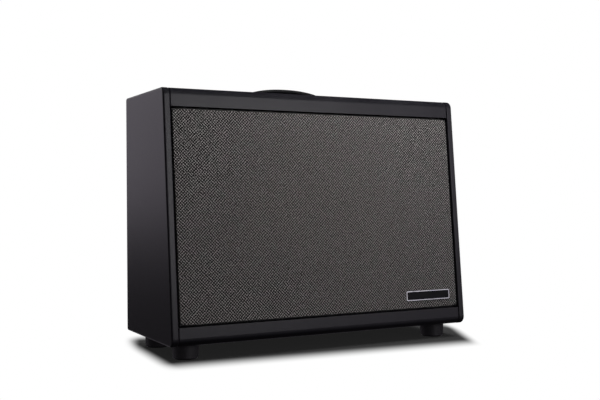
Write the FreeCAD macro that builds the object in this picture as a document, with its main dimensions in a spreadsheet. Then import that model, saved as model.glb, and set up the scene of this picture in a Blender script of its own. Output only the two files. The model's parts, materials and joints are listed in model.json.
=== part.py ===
import FreeCAD, Part
import math
import os
import Sketcher

# A guitar speaker cabinet with two 12-inch coaxial drivers and its own amplifier, in millimetres.
# X runs to the right as the front is faced, Y to the back, Z up; the floor is at Z = 0, and the
# origin lies under the middle of the cabinet.

doc = FreeCAD.newDocument("SpeakerCabinet")
sheet = doc.addObject("Spreadsheet::Sheet", "Sizes")
vector = FreeCAD.Vector
aliases = []
parts = {}


class Size:
    """A size that keeps its formula, in the sheet's own names, beside its present value."""

    def __init__(self, formula, value):
        self.formula = formula
        self.value = value

    def __neg__(self):
        return Size(f"(-{self.formula})", -self.value)

    def __add__(self, other):
        other = as_size(other)
        return Size(f"({self.formula} + {other.formula})", self.value + other.value)

    def __sub__(self, other):
        other = as_size(other)
        return Size(f"({self.formula} - {other.formula})", self.value - other.value)

    def __rsub__(self, other):
        return as_size(other) - self

    def __mul__(self, other):
        other = as_size(other)
        return Size(f"({self.formula} * {other.formula})", self.value * other.value)

    def __truediv__(self, other):
        other = as_size(other)
        return Size(f"({self.formula} / {other.formula})", self.value / other.value)

    __radd__ = __add__
    __rmul__ = __mul__


def as_size(number):
    """A plain number as a size; a size stays as it is."""
    if isinstance(number, Size):
        return number
    return Size(f"({number:.9f})", number)


def root(size):
    """The square root of a size."""
    return Size(f"sqrt({size.formula})", math.sqrt(size.value))


def cell(alias, value, meaning):
    """Writes one driving size to the sheet and gives it back."""
    aliases.append(alias)
    row = len(aliases)
    sheet.set(f"A{row}", meaning)
    sheet.set(f"B{row}", str(value))
    sheet.setAlias(f"B{row}", alias)
    return Size(f"Sizes.{alias}", value)


# Box

width = cell("width", 706, "over the outer faces of the side boards")
height = cell("height", 511, "of the side boards")
depth = cell("depth", 290, "of the side boards at the bottom")
setback = cell("setback", 46.6, "how far the front leans back at the top")
side_board = cell("side_board", 15, "thickness of a side board")
shell_board = cell("shell_board", 15, "thickness of the top and bottom boards")
proud = cell("proud", 0.3, "how far the side boards stand past the top and bottom")
front_round = cell("front_round", 16, "round of a side board's front corners")
corner_round = cell("corner_round", 6, "round of a side board's rear corners")
edge_round = cell("edge_round", 4, "round of a side board's outer edges")
joint_round = cell("joint_round", 2.5, "round of the edges where side boards and rails meet")
fit = cell("fit", 0.3, "gap round a panel that is let into the box")

# Front

rail_height = cell("rail_height", 37.7, "of the front rails")
rail_inset = cell("rail_inset", 1, "of the rails behind the front edges of the side boards")
rail_round = cell("rail_round", 15, "round of a rail's outer edge")
grille_recess = cell("grille_recess", 3.5, "of the cloth behind the front edges of the side boards")
grille_gap = cell("grille_gap", 3.3, "between the grille and the opening that it sits in")
cloth_thickness = cell("cloth_thickness", 0.8, "of the grille cloth")
cloth_return = cell("cloth_return", 8, "how far the cloth wraps round the frame")
frame_depth = cell("frame_depth", 10, "of the grille frame's bars")
stile_width = cell("stile_width", 12, "of the grille frame's upright bars")
bar_width = cell("bar_width", 25, "of the grille frame's level bars")
frame_clear = cell("frame_clear", 0.7, "from the grille frame to the heads of the drivers' screws")
pad_length = cell("pad_length", 50, "of a hook-and-loop pad")
pad_width = cell("pad_width", 20, "of a hook-and-loop pad")
pad_inset = cell("pad_inset", 75, "of the outer pads from the grille's ends")
badge_length = cell("badge_length", 116, "of the bare badge plate")
badge_width = cell("badge_width", 21, "of the bare badge plate")
badge_depth = cell("badge_depth", 3, "of the bare badge plate")
badge_rim = cell("badge_rim", 1.6, "width of the badge plate's rim")
badge_dish = cell("badge_dish", 1, "depth of the badge plate's field")
badge_gap = cell("badge_gap", 0.15, "round the badge plate's dark field")
badge_corner = cell("badge_corner", 3, "corner radius of the badge plate")
badge_end = cell("badge_end", 21, "from the badge to the grille's right edge")
badge_rise = cell("badge_rise", 18, "from the grille's lower edge to the badge")

# Baffle, back and what holds them

baffle_board = cell("baffle_board", 15, "thickness of the front baffle")
cleat = cell("cleat", 18, "side of a square cleat")
back_board = cell("back_board", 12, "thickness of the back panel")
back_recess = cell("back_recess", 26, "of the back panel behind the rear edges")
post_width = cell("post_width", 16, "of the post between the baffle and the back")
post_gap = cell("post_gap", 12, "from the post up to the amplifier's chassis")
screw_radius = cell("screw_radius", 2.2, "of a wood screw's shank")
screw_head = cell("screw_head", 4.6, "radius of a screw's head")
screw_head_depth = cell("screw_head_depth", 3, "of a screw's head")
screw_head_flat = cell("screw_head_flat", 2.8, "radius of the flat on a screw's head")
screw_head_side = cell("screw_head_side", 1.2, "height of a screw head's straight side")
screw_bite = cell("screw_bite", 12, "of a wood screw in what it holds to")
hole_gap = cell("hole_gap", 0.1, "between a screw and its hole")
back_screws_across = cell("back_screws_across", 4, "screws along the back panel's top and bottom")

# Drivers

driver_side = cell("driver_side", 18.5, "from a driver's flange to the side board")
driver_middle = cell("driver_middle", 21, "between the two drivers' flanges")
flange_width = cell("flange_width", 14.5, "of a driver's flange, outside its basket")
cutout_gap = cell("cutout_gap", 1.5, "between a driver's basket and its cutout")
basket_sheet = cell("basket_sheet", 2, "thickness of the basket's steel")
flange_depth = cell("flange_depth", 2.5, "of a driver's flange")
basket_rim = cell("basket_rim", 14, "depth of the basket's straight wall")
landing_depth = cell("landing_depth", 56, "of the ledge that holds the spider")
landing_width = cell("landing_width", 16, "of that ledge round the rear drum")
drum_radius = cell("drum_radius", 76, "of the basket's rear drum")
drum_depth = cell("drum_depth", 18, "of the basket's rear drum")
window_count = cell("window_count", 6, "windows in a basket")
window_margin = cell("window_margin", 5, "from the ledge and the wall to a window")
window_half_angle = cell("window_half_angle", 21, "half the angle of a basket window")
gasket_depth = cell("gasket_depth", 4, "of the gasket over the flange")
driver_bolts = cell("driver_bolts", 8, "screws round a driver")
bolt_inset = cell("bolt_inset", 6.5, "from a driver screw to the flange's edge")
driver_screw_end = cell("driver_screw_end", 6, "of a driver screw past the baffle")
pole_radius = cell("pole_radius", 31, "of the yoke's pole")
coil_gap = cell("coil_gap", 0.6, "clear on each side of the voice coil")
coil_wall = cell("coil_wall", 1, "of the voice coil on its former")
coil_tail = cell("coil_tail", 8, "of the voice coil past the top plate")
plate_depth = cell("plate_depth", 8, "of the top plate and of the yoke's back")
plate_radius = cell("plate_radius", 72, "of the top plate and of the yoke's back")
magnet_radius = cell("magnet_radius", 78, "of the magnet ring")
magnet_bore = cell("magnet_bore", 46, "radius of the magnet ring's hole")
magnet_depth = cell("magnet_depth", 22, "of the magnet ring")
surround_width = cell("surround_width", 19, "from the cone's edge to the basket's rim")
cone_edge = cell("cone_edge", 4, "of the cone's edge behind the baffle's face")
cone_neck = cell("cone_neck", 40, "of the cone's neck behind the baffle's face")
cone_wall = cell("cone_wall", 1.2, "of the cone, along its axis")
cone_bow = cell("cone_bow", 5, "how far the cone's flare bows")
soft_wall = cell("soft_wall", 0.8, "of the surround and the spider")
soft_gap = cell("soft_gap", 0.3, "from the surround and the spider to what they spring")
lip_gap = cell("lip_gap", 0.7, "from the surround's lip to the screw holes")
surround_rolls = cell("surround_rolls", 2, "rolls in a surround")
surround_bow = cell("surround_bow", 2.5, "height of a surround's roll")
spider_rolls = cell("spider_rolls", 5, "rolls in a spider")
spider_bow = cell("spider_bow", 2.2, "height of a spider's roll")
throat_radius = cell("throat_radius", 12.5, "of the bore that the high notes come through")
horn_wall = cell("horn_wall", 1.5, "of the horn")
horn_mouth = cell("horn_mouth", 29, "outer radius of the horn's mouth")
horn_length = cell("horn_length", 41, "of the horn")
horn_foot = cell("horn_foot", 26, "radius of the horn's foot")
tweeter_radius = cell("tweeter_radius", 43, "of the high-frequency driver")
tweeter_depth = cell("tweeter_depth", 34, "of the high-frequency driver")
tweeter_cap = cell("tweeter_cap", 6, "bevel of the high-frequency driver's cap")

# Handle and feet

handle_span = cell("handle_span", 248, "over the handle's end caps")
handle_back = cell("handle_back", 72, "from the handle's middle to the back edge")
cap_length = cell("cap_length", 34, "of a handle end cap")
cap_wall = cell("cap_wall", 3, "of a handle end cap")
cap_screw_inset = cell("cap_screw_inset", 7, "from a cap's end to its screw")
cap_round = cell("cap_round", 4, "round of a handle end cap")
cap_block = cell("cap_block", 13, "of a cap's solid end round its screw")
strap_width = cell("strap_width", 28, "of the handle strap")
strap_thickness = cell("strap_thickness", 8, "of the handle strap")
strap_tab = cell("strap_tab", 6, "thickness of the strap's ends in the caps")
strap_rise = cell("strap_rise", 26.5, "of the strap's crown over the top")
strap_crown = cell("strap_crown", 8, "how far the strap bows between its shoulders")
strap_slope = cell("strap_slope", 12, "length of the strap's drop from shoulder to cap")
strap_bend = cell("strap_bend", 8, "round of the strap's bends")
strap_round = cell("strap_round", 1.8, "round of the strap's long edges")
strap_play = cell("strap_play", 4, "how far the strap lifts in its caps")
strap_gap = cell("strap_gap", 0.5, "between the strap and the inside of a cap")
foot_radius = cell("foot_radius", 27, "of a rubber foot")
foot_height = cell("foot_height", 31.2, "of a rubber foot")
foot_taper = cell("foot_taper", 1, "how much narrower a foot is at the floor")
foot_edge = cell("foot_edge", 3, "bevel of a foot at the floor")
foot_inset_x = cell("foot_inset_x", 50, "from a foot's middle to the cabinet's side")
foot_inset_y = cell("foot_inset_y", 60, "from a foot's middle to the front or back edge")
foot_sink = cell("foot_sink", 16, "depth of the hole that a foot's screw sits in")
foot_sink_radius = cell("foot_sink_radius", 7, "of the hole that a foot's screw sits in")

# Amplifier

panel_width = cell("panel_width", 424, "of the rear amplifier panel")
panel_sheet = cell("panel_sheet", 2.5, "thickness of the rear amplifier panel")
panel_drop = cell("panel_drop", 94.2, "from the side boards' top to the panel's middle")
panel_lap = cell("panel_lap", 10, "of the panel over the back panel")
panel_screws_across = cell("panel_screws_across", 4, "screws along the panel's long edges")
chassis_depth = cell("chassis_depth", 86, "of the amplifier's chassis")
chassis_sheet = cell("chassis_sheet", 1.5, "thickness of the chassis steel")
row_offset = cell("row_offset", 22, "of each row of controls from the panel's middle")
row_inset = cell("row_inset", 18, "of a row of controls from the edge of the chassis opening")
jack_radius = cell("jack_radius", 11.5, "of an input jack's body")
jack_flange = cell("jack_flange", 14, "radius of an input jack's flange")
jack_depth = cell("jack_depth", 26, "of a jack behind the panel")
plug_radius = cell("plug_radius", 3.25, "of the hole for a 6.35 mm plug")
plug_depth = cell("plug_depth", 22, "of the hole for a 6.35 mm plug")
lid_depth = cell("lid_depth", 2.5, "of a flange on the panel's face")
input_inset = cell("input_inset", 26, "from the first input jack to the end of the chassis opening")
jack_pitch = cell("jack_pitch", 40, "between two jacks")
link_offset = cell("link_offset", 88, "from the first input jack to the first link jack")
link_radius = cell("link_radius", 6, "of a link jack's body")
link_flange = cell("link_flange", 9, "radius of a link jack's nut")
shaft_radius = cell("shaft_radius", 3, "of a knob's shaft")
shaft_gap = cell("shaft_gap", 0.2, "between a shaft and its bushing")
bushing_radius = cell("bushing_radius", 4.5, "of a control's bushing")
bushing_rise = cell("bushing_rise", 4, "of a bushing past the panel")
pot_radius = cell("pot_radius", 9, "of a control's body")
knob_radius = cell("knob_radius", 11, "of a knob")
knob_height = cell("knob_height", 14, "of a knob")
knob_gap = cell("knob_gap", 0.6, "between a knob and its bushing")
knob_taper = cell("knob_taper", 1.5, "how much narrower a knob is at its top")
knob_bevel = cell("knob_bevel", 1.5, "of a knob's top edge")
knob_crown = cell("knob_crown", 4, "of a knob over its shaft")
knob_line = cell("knob_line", 1.2, "width of a knob's pointer line")
knob_line_depth = cell("knob_line_depth", 0.6, "of a knob's pointer line")
display_inset = cell("display_inset", 52, "from the display's middle to the end of the chassis opening")
display_width = cell("display_width", 66, "of the display window")
display_height = cell("display_height", 36, "of the display window")
display_depth = cell("display_depth", 2, "of the display window")
display_lip = cell("display_lip", 4, "of the display window on the panel")
display_corner = cell("display_corner", 3, "corner radius of the display window")
button_radius = cell("button_radius", 4.5, "of a push button")
button_rise = cell("button_rise", 3.5, "of a push button past the panel")
button_collar = cell("button_collar", 7, "radius of a push button's collar")
button_collar_depth = cell("button_collar_depth", 2, "of a push button's collar")
button_travel = cell("button_travel", 1.2, "of a push button")
button_gap = cell("button_gap", 0.3, "round a push button")
button_bevel = cell("button_bevel", 1, "of a push button's edge")
home_gap = cell("home_gap", 25, "from the display to the home button")
select_pitch = cell("select_pitch", 40, "from the home button to the select knob")
lift_pitch = cell("lift_pitch", 31, "from the ground lift button to the knob on each side")
switch_side = cell("switch_side", 8, "of a button's switch")
control_space = cell("control_space", 14, "from the panel's face to the control board")
board_sheet = cell("board_sheet", 1.6, "thickness of a circuit board")
board_end = cell("board_end", 7, "from the control board to the end of the chassis opening")
board_edge = cell("board_edge", 3, "from the control board to the top of the chassis opening")
board_dip = cell("board_dip", 5, "of the control board below the panel's middle")
board_reach = cell("board_reach", 25, "of the control board past the volume knob")
power_width = cell("power_width", 300, "of the power board")
power_back = cell("power_back", 7, "from the power board to the jacks")
power_gap = cell("power_gap", 4, "from the power board to the chassis wall")
standoff_height = cell("standoff_height", 6, "of the power board's standoffs")
standoff_radius = cell("standoff_radius", 3, "of the power board's standoffs")
standoff_inset = cell("standoff_inset", 8, "of a standoff from the power board's edges")
inlet_inset = cell("inlet_inset", 32, "from the mains inlet's middle to the end of the chassis opening")
inlet_width = cell("inlet_width", 50, "of the mains inlet's flange")
inlet_height = cell("inlet_height", 26, "of the mains inlet's flange")
inlet_body_width = cell("inlet_body_width", 29, "of the mains inlet's body")
inlet_body_height = cell("inlet_body_height", 21, "of the mains inlet's body")
inlet_wall = cell("inlet_wall", 2, "round the mains inlet's socket")
inlet_depth = cell("inlet_depth", 22, "of the mains inlet behind the panel")
pin_width = cell("pin_width", 2, "of an inlet pin")
pin_height = cell("pin_height", 4, "of an inlet pin")
pin_pitch = cell("pin_pitch", 7, "between inlet pins")
pin_length = cell("pin_length", 15, "of an inlet pin")
pin_drop = cell("pin_drop", 3, "of the outer pins below the socket's middle")
rocker_pitch = cell("rocker_pitch", 60, "from the mains inlet to the power rocker")
rocker_radius = cell("rocker_radius", 10, "of the rocker round its pivot")
rocker_length = cell("rocker_length", 13, "of the rocker along its pivot")
rocker_gap = cell("rocker_gap", 0.5, "round the rocker")
rocker_reach = cell("rocker_reach", 8, "from the rocker's pivot out to its ends")
rocker_sink = cell("rocker_sink", 4, "of the rocker's pivot behind the panel's face")
rocker_tilt = cell("rocker_tilt", 9, "of each half of the rocker")
rocker_wall = cell("rocker_wall", 2, "of the rocker's frame")
rocker_flange = cell("rocker_flange", 4, "of the rocker's frame on the panel")
rocker_frame_depth = cell("rocker_frame_depth", 14, "of the rocker's frame behind the panel")
pivot_radius = cell("pivot_radius", 1.5, "of the rocker's pivot pins")
pivot_gap = cell("pivot_gap", 0.15, "round the rocker's pivot pins")
doc.recompute()

# The leaning front: a point on it is given by how far it lies to the right, behind the front plane
# and up the slope from the front edge of the bottom.

lean = setback / height
front_length = root(height * height + setback * setback)
cos_lean = height / front_length
sin_lean = setback / front_length
lean_angle = Size(f"(atan({lean.formula}) / (1 deg))", math.degrees(math.atan(lean.value)))
front_edge = -depth / 2
back_edge = depth / 2
box_floor = foot_height
box_top = foot_height + height
inner_half = width / 2 - side_board
board_top = box_top - proud
ceiling = board_top - shell_board
board_bottom = box_floor + proud
floor = board_bottom + shell_board


def front_point(right, behind, up):
    """A point of the leaning front, in the cabinet's own axes."""
    behind = as_size(behind)
    up = as_size(up)
    y = front_edge + behind * cos_lean + up * sin_lean
    z = box_floor - behind * sin_lean + up * cos_lean
    return (right, y, z)


# The way that a piece's own Z axis points, as a turn about an axis.
TURNS = {
    "up": ("1; 0; 0", as_size(0)),
    "down": ("1; 0; 0", as_size(180)),
    "back": ("1; 0; 0", as_size(-90)),
    "front": ("1; 0; 0", as_size(90)),
    "right": ("0; 1; 0", as_size(90)),
    "leaning": ("1; 0; 0", -lean_angle),
    "inward": ("1; 0; 0", -90 - lean_angle),
    "rocked": ("1; 0; 0", rocker_tilt),
}


def place(piece, point, way="up"):
    """Puts a piece's own origin at a point, with its Z axis turned the given way."""
    x, y, z = (as_size(value).formula for value in point)
    axis, turn = TURNS[way]
    rotation = f"rotation(vector({axis}); {turn.formula})"
    piece.setExpression("Placement", f"placement(vector({x}; {y}; {z}); {rotation})")


def bind(piece, **sizes):
    """Binds a piece's properties to formulas of the sheet's sizes."""
    for name, size in sizes.items():
        piece.setExpression(name, as_size(size).formula)


def keep(piece, name):
    """Labels a finished sub-part and lists it for writing."""
    piece.Label = name
    parts[name] = piece
    return piece


def box(name, size, corner, way="up"):
    """A block given by its sizes and its lowest corner."""
    block = doc.addObject("Part::Box", name)
    bind(block, Length=size[0], Width=size[1], Height=size[2])
    place(block, corner, way)
    return block


def rod(name, radius, length, start, way="up"):
    """A round rod from a start point."""
    piece = doc.addObject("Part::Cylinder", name)
    bind(piece, Radius=radius, Height=length)
    place(piece, start, way)
    return piece


def group(name, pieces):
    """Several separate solids as one piece."""
    bundle = doc.addObject("Part::Compound", name)
    bundle.Links = pieces
    return bundle


def cut(name, base, tools):
    """A piece with the given tools cut out of it."""
    piece = doc.addObject("Part::Cut", name)
    piece.Base = base
    piece.Tool = tools[0] if len(tools) == 1 else group(name + "_tools", tools)
    return piece


def fuse(name, pieces):
    """One solid made of several that meet."""
    piece = doc.addObject("Part::MultiFuse", name)
    piece.Shapes = pieces
    return piece


def origin_plane(body, role):
    """One of a body's own origin planes."""
    return next(plane for plane in body.Origin.OriginFeatures if plane.Role == role)


def arc_middle(start, end, bow):
    """The middle of an arc that stands off its chord by bow, to the left of the way from start to end."""
    chord = end - start
    left = vector(-chord.y, chord.x, 0).normalize()
    return (start + end) / 2 + left * bow


def outline(body, points, role):
    """A closed sketch through points (across, up) or, where an arc follows, (across, up, bow)."""
    sketch = body.newObject("Sketcher::SketchObject", body.Name + "_outline")
    sketch.AttachmentSupport = (origin_plane(body, role), [""])
    sketch.MapMode = "FlatFace"
    corners = [(as_size(point[0]), as_size(point[1])) for point in points]
    places = [vector(across.value, up.value, 0) for across, up in corners]
    first_ends = []
    for index, point in enumerate(points):
        start = places[index]
        end = places[(index + 1) % len(places)]
        if len(point) == 3:
            edge = sketch.addGeometry(Part.Arc(start, arc_middle(start, end, point[2].value), end))
        else:
            edge = sketch.addGeometry(Part.LineSegment(start, end))
        first_ends.append(min((1, 2), key=lambda end: sketch.getPoint(edge, end).distanceToPoint(start)))
    for index, point in enumerate(points):
        after = (index + 1) % len(points)
        last_end = 3 - first_ends[index]
        sketch.addConstraint(Sketcher.Constraint("Coincident", index, last_end, after, first_ends[after]))
        for kind, name, size in zip(("DistanceX", "DistanceY"), ("across", "up"), corners[index]):
            number = sketch.addConstraint(Sketcher.Constraint(kind, index, first_ends[index], size.value))
            sketch.renameConstraint(number, f"{name}{index}")
            sketch.setExpression(f"Constraints.{name}{index}", size.formula)
        if len(point) == 3:
            bow = point[2] if point[2].value > 0 else -point[2]
            run = corners[after][0] - corners[index][0]
            climb = corners[after][1] - corners[index][1]
            radius = ((run * run + climb * climb) / 4 + bow * bow) / (2 * bow)
            number = sketch.addConstraint(Sketcher.Constraint("Radius", index, radius.value))
            sketch.renameConstraint(number, f"radius{index}")
            sketch.setExpression(f"Constraints.radius{index}", radius.formula)
    return sketch


def prism(name, points, length, start, way="up", role="YZ_Plane"):
    """A bar with the given end outline, as long as given."""
    body = doc.addObject("PartDesign::Body", name)
    pad = body.newObject("PartDesign::Pad", name + "_pad")
    pad.Profile = outline(body, points, role)
    bind(pad, Length=length)
    place(body, start, way)
    return body


def turned(name, profile, start, way):
    """A round piece turned from a profile of points (radius, along its axis)."""
    body = doc.addObject("PartDesign::Body", name)
    sketch = outline(body, profile, "XZ_Plane")
    spin = body.newObject("PartDesign::Revolution", name + "_spin")
    spin.Profile = sketch
    spin.ReferenceAxis = (sketch, ["V_Axis"])
    place(body, start, way)
    return body


def rounded(body, radius, chosen):
    """Rounds the edges of a body that a test picks."""
    doc.recompute()
    last = body.Tip
    names = [f"Edge{number}" for number, edge in enumerate(last.Shape.Edges, 1) if chosen(edge)]
    fillet = body.newObject("PartDesign::Fillet", body.Name + "_round")
    fillet.Base = (last, names)
    bind(fillet, Radius=radius)
    return body


def runs_along(edge, axis):
    """Whether a straight edge runs along one of a body's own axes."""
    ends = edge.Vertexes
    return len(ends) == 2 and abs(abs((ends[1].Point - ends[0].Point).normalize().dot(axis)) - 1) < 1e-6


def spread(count, low, high):
    """Places that share a length evenly, from its low end to its high one."""
    steps = int(count.value) - 1
    return [low + (high - low) * (step / steps) for step in range(steps + 1)]


def screw(name, start, length, way):
    """A round-headed screw that points the given way, with the underside of its head at the start."""
    profile = [
        (0, -screw_head_depth),
        (screw_head_flat, -screw_head_depth),
        (screw_head, -screw_head_side),
        (screw_head, 0),
        (screw_radius, 0),
        (screw_radius, length - screw_radius),
        (0, length),
    ]
    return turned(name, profile, start, way)


def screw_set(name, spots, length, way):
    """Like screws at the given places, and the group of holes that they need."""
    screws = [screw(name + "_screw", spot, length, way) for spot in spots]
    holes = [rod(name + "_hole", screw_radius + hole_gap, length, spot, way) for spot in spots]
    return screws, group(name + "_holes", holes)


# Side boards

side_outline = [(front_edge, 0), (back_edge, 0), (back_edge, height), (front_edge + setback, height)]
for side, x in (("left", -width / 2), ("right", inner_half)):
    board = prism(f"{side}_side_board", side_outline, side_board, (x, 0, box_floor))
    rounded(board, corner_round, lambda edge: runs_along(edge, vector(1, 0, 0)) and edge.Vertexes[0].Y > 0)
    rounded(board, front_round, lambda edge: runs_along(edge, vector(1, 0, 0)) and edge.Vertexes[0].Y < 0)
    outer_x = 0 if side == "left" else side_board.value
    rounded(board, edge_round, lambda edge: all(abs(end.X - outer_x) < 1e-6 for end in edge.Vertexes))
    inner_x = side_board.value - outer_x
    rounded(board, joint_round, lambda edge: all(abs(end.X - inner_x) < 1e-6 for end in edge.Vertexes))
    keep(board, f"{side}_side_board")

# Front rails: each is glued to the baffle behind it, and its outer edge and ends are rounded. The baffle
# lies so far back that the grille frame clears the drivers' screws.

gasket_front = flange_depth + soft_wall + gasket_depth
frame_front = grille_recess + cloth_thickness
frame_back = frame_front + frame_depth
baffle_front = frame_back + frame_clear + screw_head_depth + gasket_front
baffle_back = baffle_front + baffle_board


def slope_y(behind, level):
    """Y of the plane that lies behind the front plane by the given depth, at a level of Z."""
    return front_edge + behind / cos_lean + (level - box_floor) * lean


def rail(name, outer, inner):
    """A rail from its outer level to its inner level, measured at its front face."""
    front = slope_y(rail_inset, inner)
    rear = front + (baffle_front - rail_inset) * cos_lean
    points = [
        (slope_y(rail_inset, outer), outer),
        (slope_y(baffle_front, outer), outer),
        (rear, inner - (baffle_front - rail_inset) * sin_lean),
        (front, inner),
    ]
    bar = prism(name, points, 2 * inner_half, (-inner_half, 0, 0))
    outer_y = points[0][0].value
    rounded(bar, rail_round, lambda edge: all(
        abs(end.Y - outer_y) < 1e-6 and abs(end.Z - outer.value) < 1e-6 for end in edge.Vertexes))
    inner_y, inner_z, slope = front.value, inner.value, lean.value
    rounded(bar, joint_round, lambda edge: not runs_along(edge, vector(1, 0, 0)) and all(
        abs(end.Y - inner_y - (end.Z - inner_z) * slope) < 1e-6 for end in edge.Vertexes))
    return keep(bar, name)


rail("top_front_rail", board_top, board_top - rail_height)
rail("bottom_front_rail", board_bottom, board_bottom + rail_height)

# Grille

opening_low = (proud + rail_height) / cos_lean
opening_high = (height - proud - rail_height) / cos_lean
grille_low = opening_low + grille_gap
grille_high = opening_high - grille_gap
grille_half = inner_half - grille_gap
frame_half = grille_half - cloth_thickness
frame_low = grille_low + cloth_thickness
frame_high = grille_high - cloth_thickness


def front_box(name, low, high):
    """A block on the leaning front between two corners, each right, behind and up the slope."""
    size = [as_size(top) - bottom for bottom, top in zip(low, high)]
    return box(name, size, front_point(*low), "leaning")


bars = [
    front_box("left_stile", (-frame_half, frame_front, frame_low),
              (stile_width - frame_half, frame_back, frame_high)),
    front_box("right_stile", (frame_half - stile_width, frame_front, frame_low),
              (frame_half, frame_back, frame_high)),
    front_box("centre_stile", (-stile_width / 2, frame_front, frame_low + bar_width),
              (stile_width / 2, frame_back, frame_high - bar_width)),
    front_box("low_bar", (stile_width - frame_half, frame_front, frame_low),
              (frame_half - stile_width, frame_back, frame_low + bar_width)),
    front_box("high_bar", (stile_width - frame_half, frame_front, frame_high - bar_width),
              (frame_half - stile_width, frame_back, frame_high)),
]
keep(group("grille_frame", bars), "grille_frame")

cloth_sheet = front_box("cloth_sheet", (-grille_half, grille_recess, grille_low),
                        (grille_half, frame_front + cloth_return, grille_high))
cloth_hollow = front_box("cloth_hollow", (-frame_half, frame_front, frame_low),
                         (frame_half, frame_front + 2 * cloth_return, frame_high))
keep(cut("grille_cloth", cloth_sheet, [cloth_hollow]), "grille_cloth")

pads = []
for up in (frame_low + (bar_width - pad_width) / 2, frame_high - (bar_width + pad_width) / 2):
    for right in (pad_inset - frame_half, as_size(0), frame_half - pad_inset):
        pads.append(front_box("pad", (right - pad_length / 2, frame_back, up),
                              (right + pad_length / 2, baffle_front, up + pad_width)))
keep(group("grille_pads", pads), "grille_pads")

badge_right = grille_half - badge_end
badge_low = grille_low + badge_rise


def badge_piece(name, margin, front, back):
    """A plate with round corners, inside the badge's edge by the margin."""
    wide = badge_length - 2 * margin
    tall = badge_width - 2 * margin
    points = [(0, 0), (wide, 0), (wide, tall), (0, tall)]
    start = front_point(badge_right - badge_length + margin, back, badge_low + margin)
    plate = prism(name, points, back - front, start, "leaning", "XZ_Plane")
    return rounded(plate, badge_corner - margin, lambda edge: runs_along(edge, vector(0, 1, 0)))


badge_front = grille_recess - badge_depth
badge_blank = badge_piece("badge_blank", as_size(0), badge_front, grille_recess)
field_floor = badge_front + badge_dish
badge_field = badge_piece("badge_field", badge_rim, badge_front - badge_dish, field_floor)
keep(cut("badge_plate", badge_blank, [badge_field]), "badge_plate")
inlay = badge_piece("badge_inlay", badge_rim + badge_gap, field_floor - badge_dish / 2, field_floor)
keep(inlay, "badge_inlay")

# Baffle, with its cutouts and the holes for the drivers' screws

baffle_low = (proud + shell_board + fit + baffle_back * sin_lean) / cos_lean
baffle_high = (height - proud - shell_board - fit + baffle_front * sin_lean) / cos_lean
driver_up = front_length / 2
driver_radius = (inner_half - driver_side - driver_middle / 2) / 2
driver_x = driver_middle / 2 + driver_radius
drivers = (("left", -driver_x), ("right", driver_x))
basket_radius = driver_radius - flange_width
bolt_circle = driver_radius - bolt_inset


def driver_point(x, along):
    """A point on a driver's axis, counted inward from the baffle's front face."""
    return front_point(x, baffle_front + along, driver_up)


def round_driver(x, along):
    """The places of the screws round a driver, at a depth from the baffle's front face."""
    count = int(driver_bolts.value)
    for number in range(count):
        turn = 2 * math.pi * (number + 0.5) / count
        right = x + bolt_circle * math.cos(turn)
        yield front_point(right, baffle_front + along, driver_up + bolt_circle * math.sin(turn))


bolt_length = gasket_front + baffle_board + driver_screw_end
cutters = {}
driver_screws = []
for side, x in drivers:
    spots = list(round_driver(x, -gasket_front))
    screws, cutters[side] = screw_set(f"{side}_driver", spots, bolt_length, "inward")
    driver_screws += screws
keep(group("driver_screws", driver_screws), "driver_screws")

baffle_blank = front_box("baffle_blank", (fit - inner_half, baffle_front, baffle_low),
                         (inner_half - fit, baffle_back, baffle_high))
openings = [rod(f"{side}_cutout", basket_radius + cutout_gap, baffle_board, driver_point(x, 0), "inward")
            for side, x in drivers]
keep(cut("front_baffle", baffle_blank, openings + list(cutters.values())), "front_baffle")

cleat_back = baffle_back + cleat
cleat_low = (proud + shell_board + fit + cleat_back * sin_lean) / cos_lean
cleat_high = (height - proud - shell_board - fit + baffle_back * sin_lean) / cos_lean
baffle_cleats = []
for right in (-inner_half, inner_half - cleat):
    baffle_cleats.append(front_box("baffle_cleat", (right, baffle_back, cleat_low),
                                   (right + cleat, cleat_back, cleat_high)))
keep(group("baffle_cleats", baffle_cleats), "baffle_cleats")

# Drivers: each profile is given by radius and by depth behind the baffle's front face.

coil_inner = pole_radius + coil_gap
coil_outer = coil_inner + coil_wall
plate_bore = coil_outer + coil_gap
drum_back = landing_depth + drum_depth
magnet_front = drum_back + plate_depth
yoke_front = magnet_front + magnet_depth
yoke_back = yoke_front + plate_depth
landing_radius = drum_radius + landing_width
cone_radius = basket_radius - surround_width
lip_radius = bolt_circle - screw_radius - hole_gap - lip_gap
window_inner = landing_radius + window_margin
window_outer = basket_radius - 2 * basket_sheet - window_margin


def rolls(start, end, count, bow):
    """Points of a wavy run from start to end, each followed by an arc, first one way and then the other."""
    steps = int(count.value)
    points = []
    for step in range(steps):
        share = step / steps
        across = start[0] + (end[0] - start[0]) * share
        along = start[1] + (end[1] - start[1]) * share
        points.append((across, along, bow if step % 2 == 0 else -bow))
    return points


def wavy_ring(name, inner, outer, lip, count, bow, start):
    """A thin ring of rolls between an inner and an outer point, with a flat lip beyond."""
    behind = soft_wall
    ends_at_lip = (lip, outer[1])
    near = rolls(inner, outer, count, bow) + [outer, ends_at_lip]
    far_inner = (inner[0], inner[1] + behind)
    far_outer = (outer[0], outer[1] + behind)
    last_bow = bow if int(count.value) % 2 == 1 else -bow
    far = [(lip, outer[1] + behind)] + rolls(far_outer, far_inner, count, -last_bow) + [far_inner]
    return turned(name, near + far, start, "inward")


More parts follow.
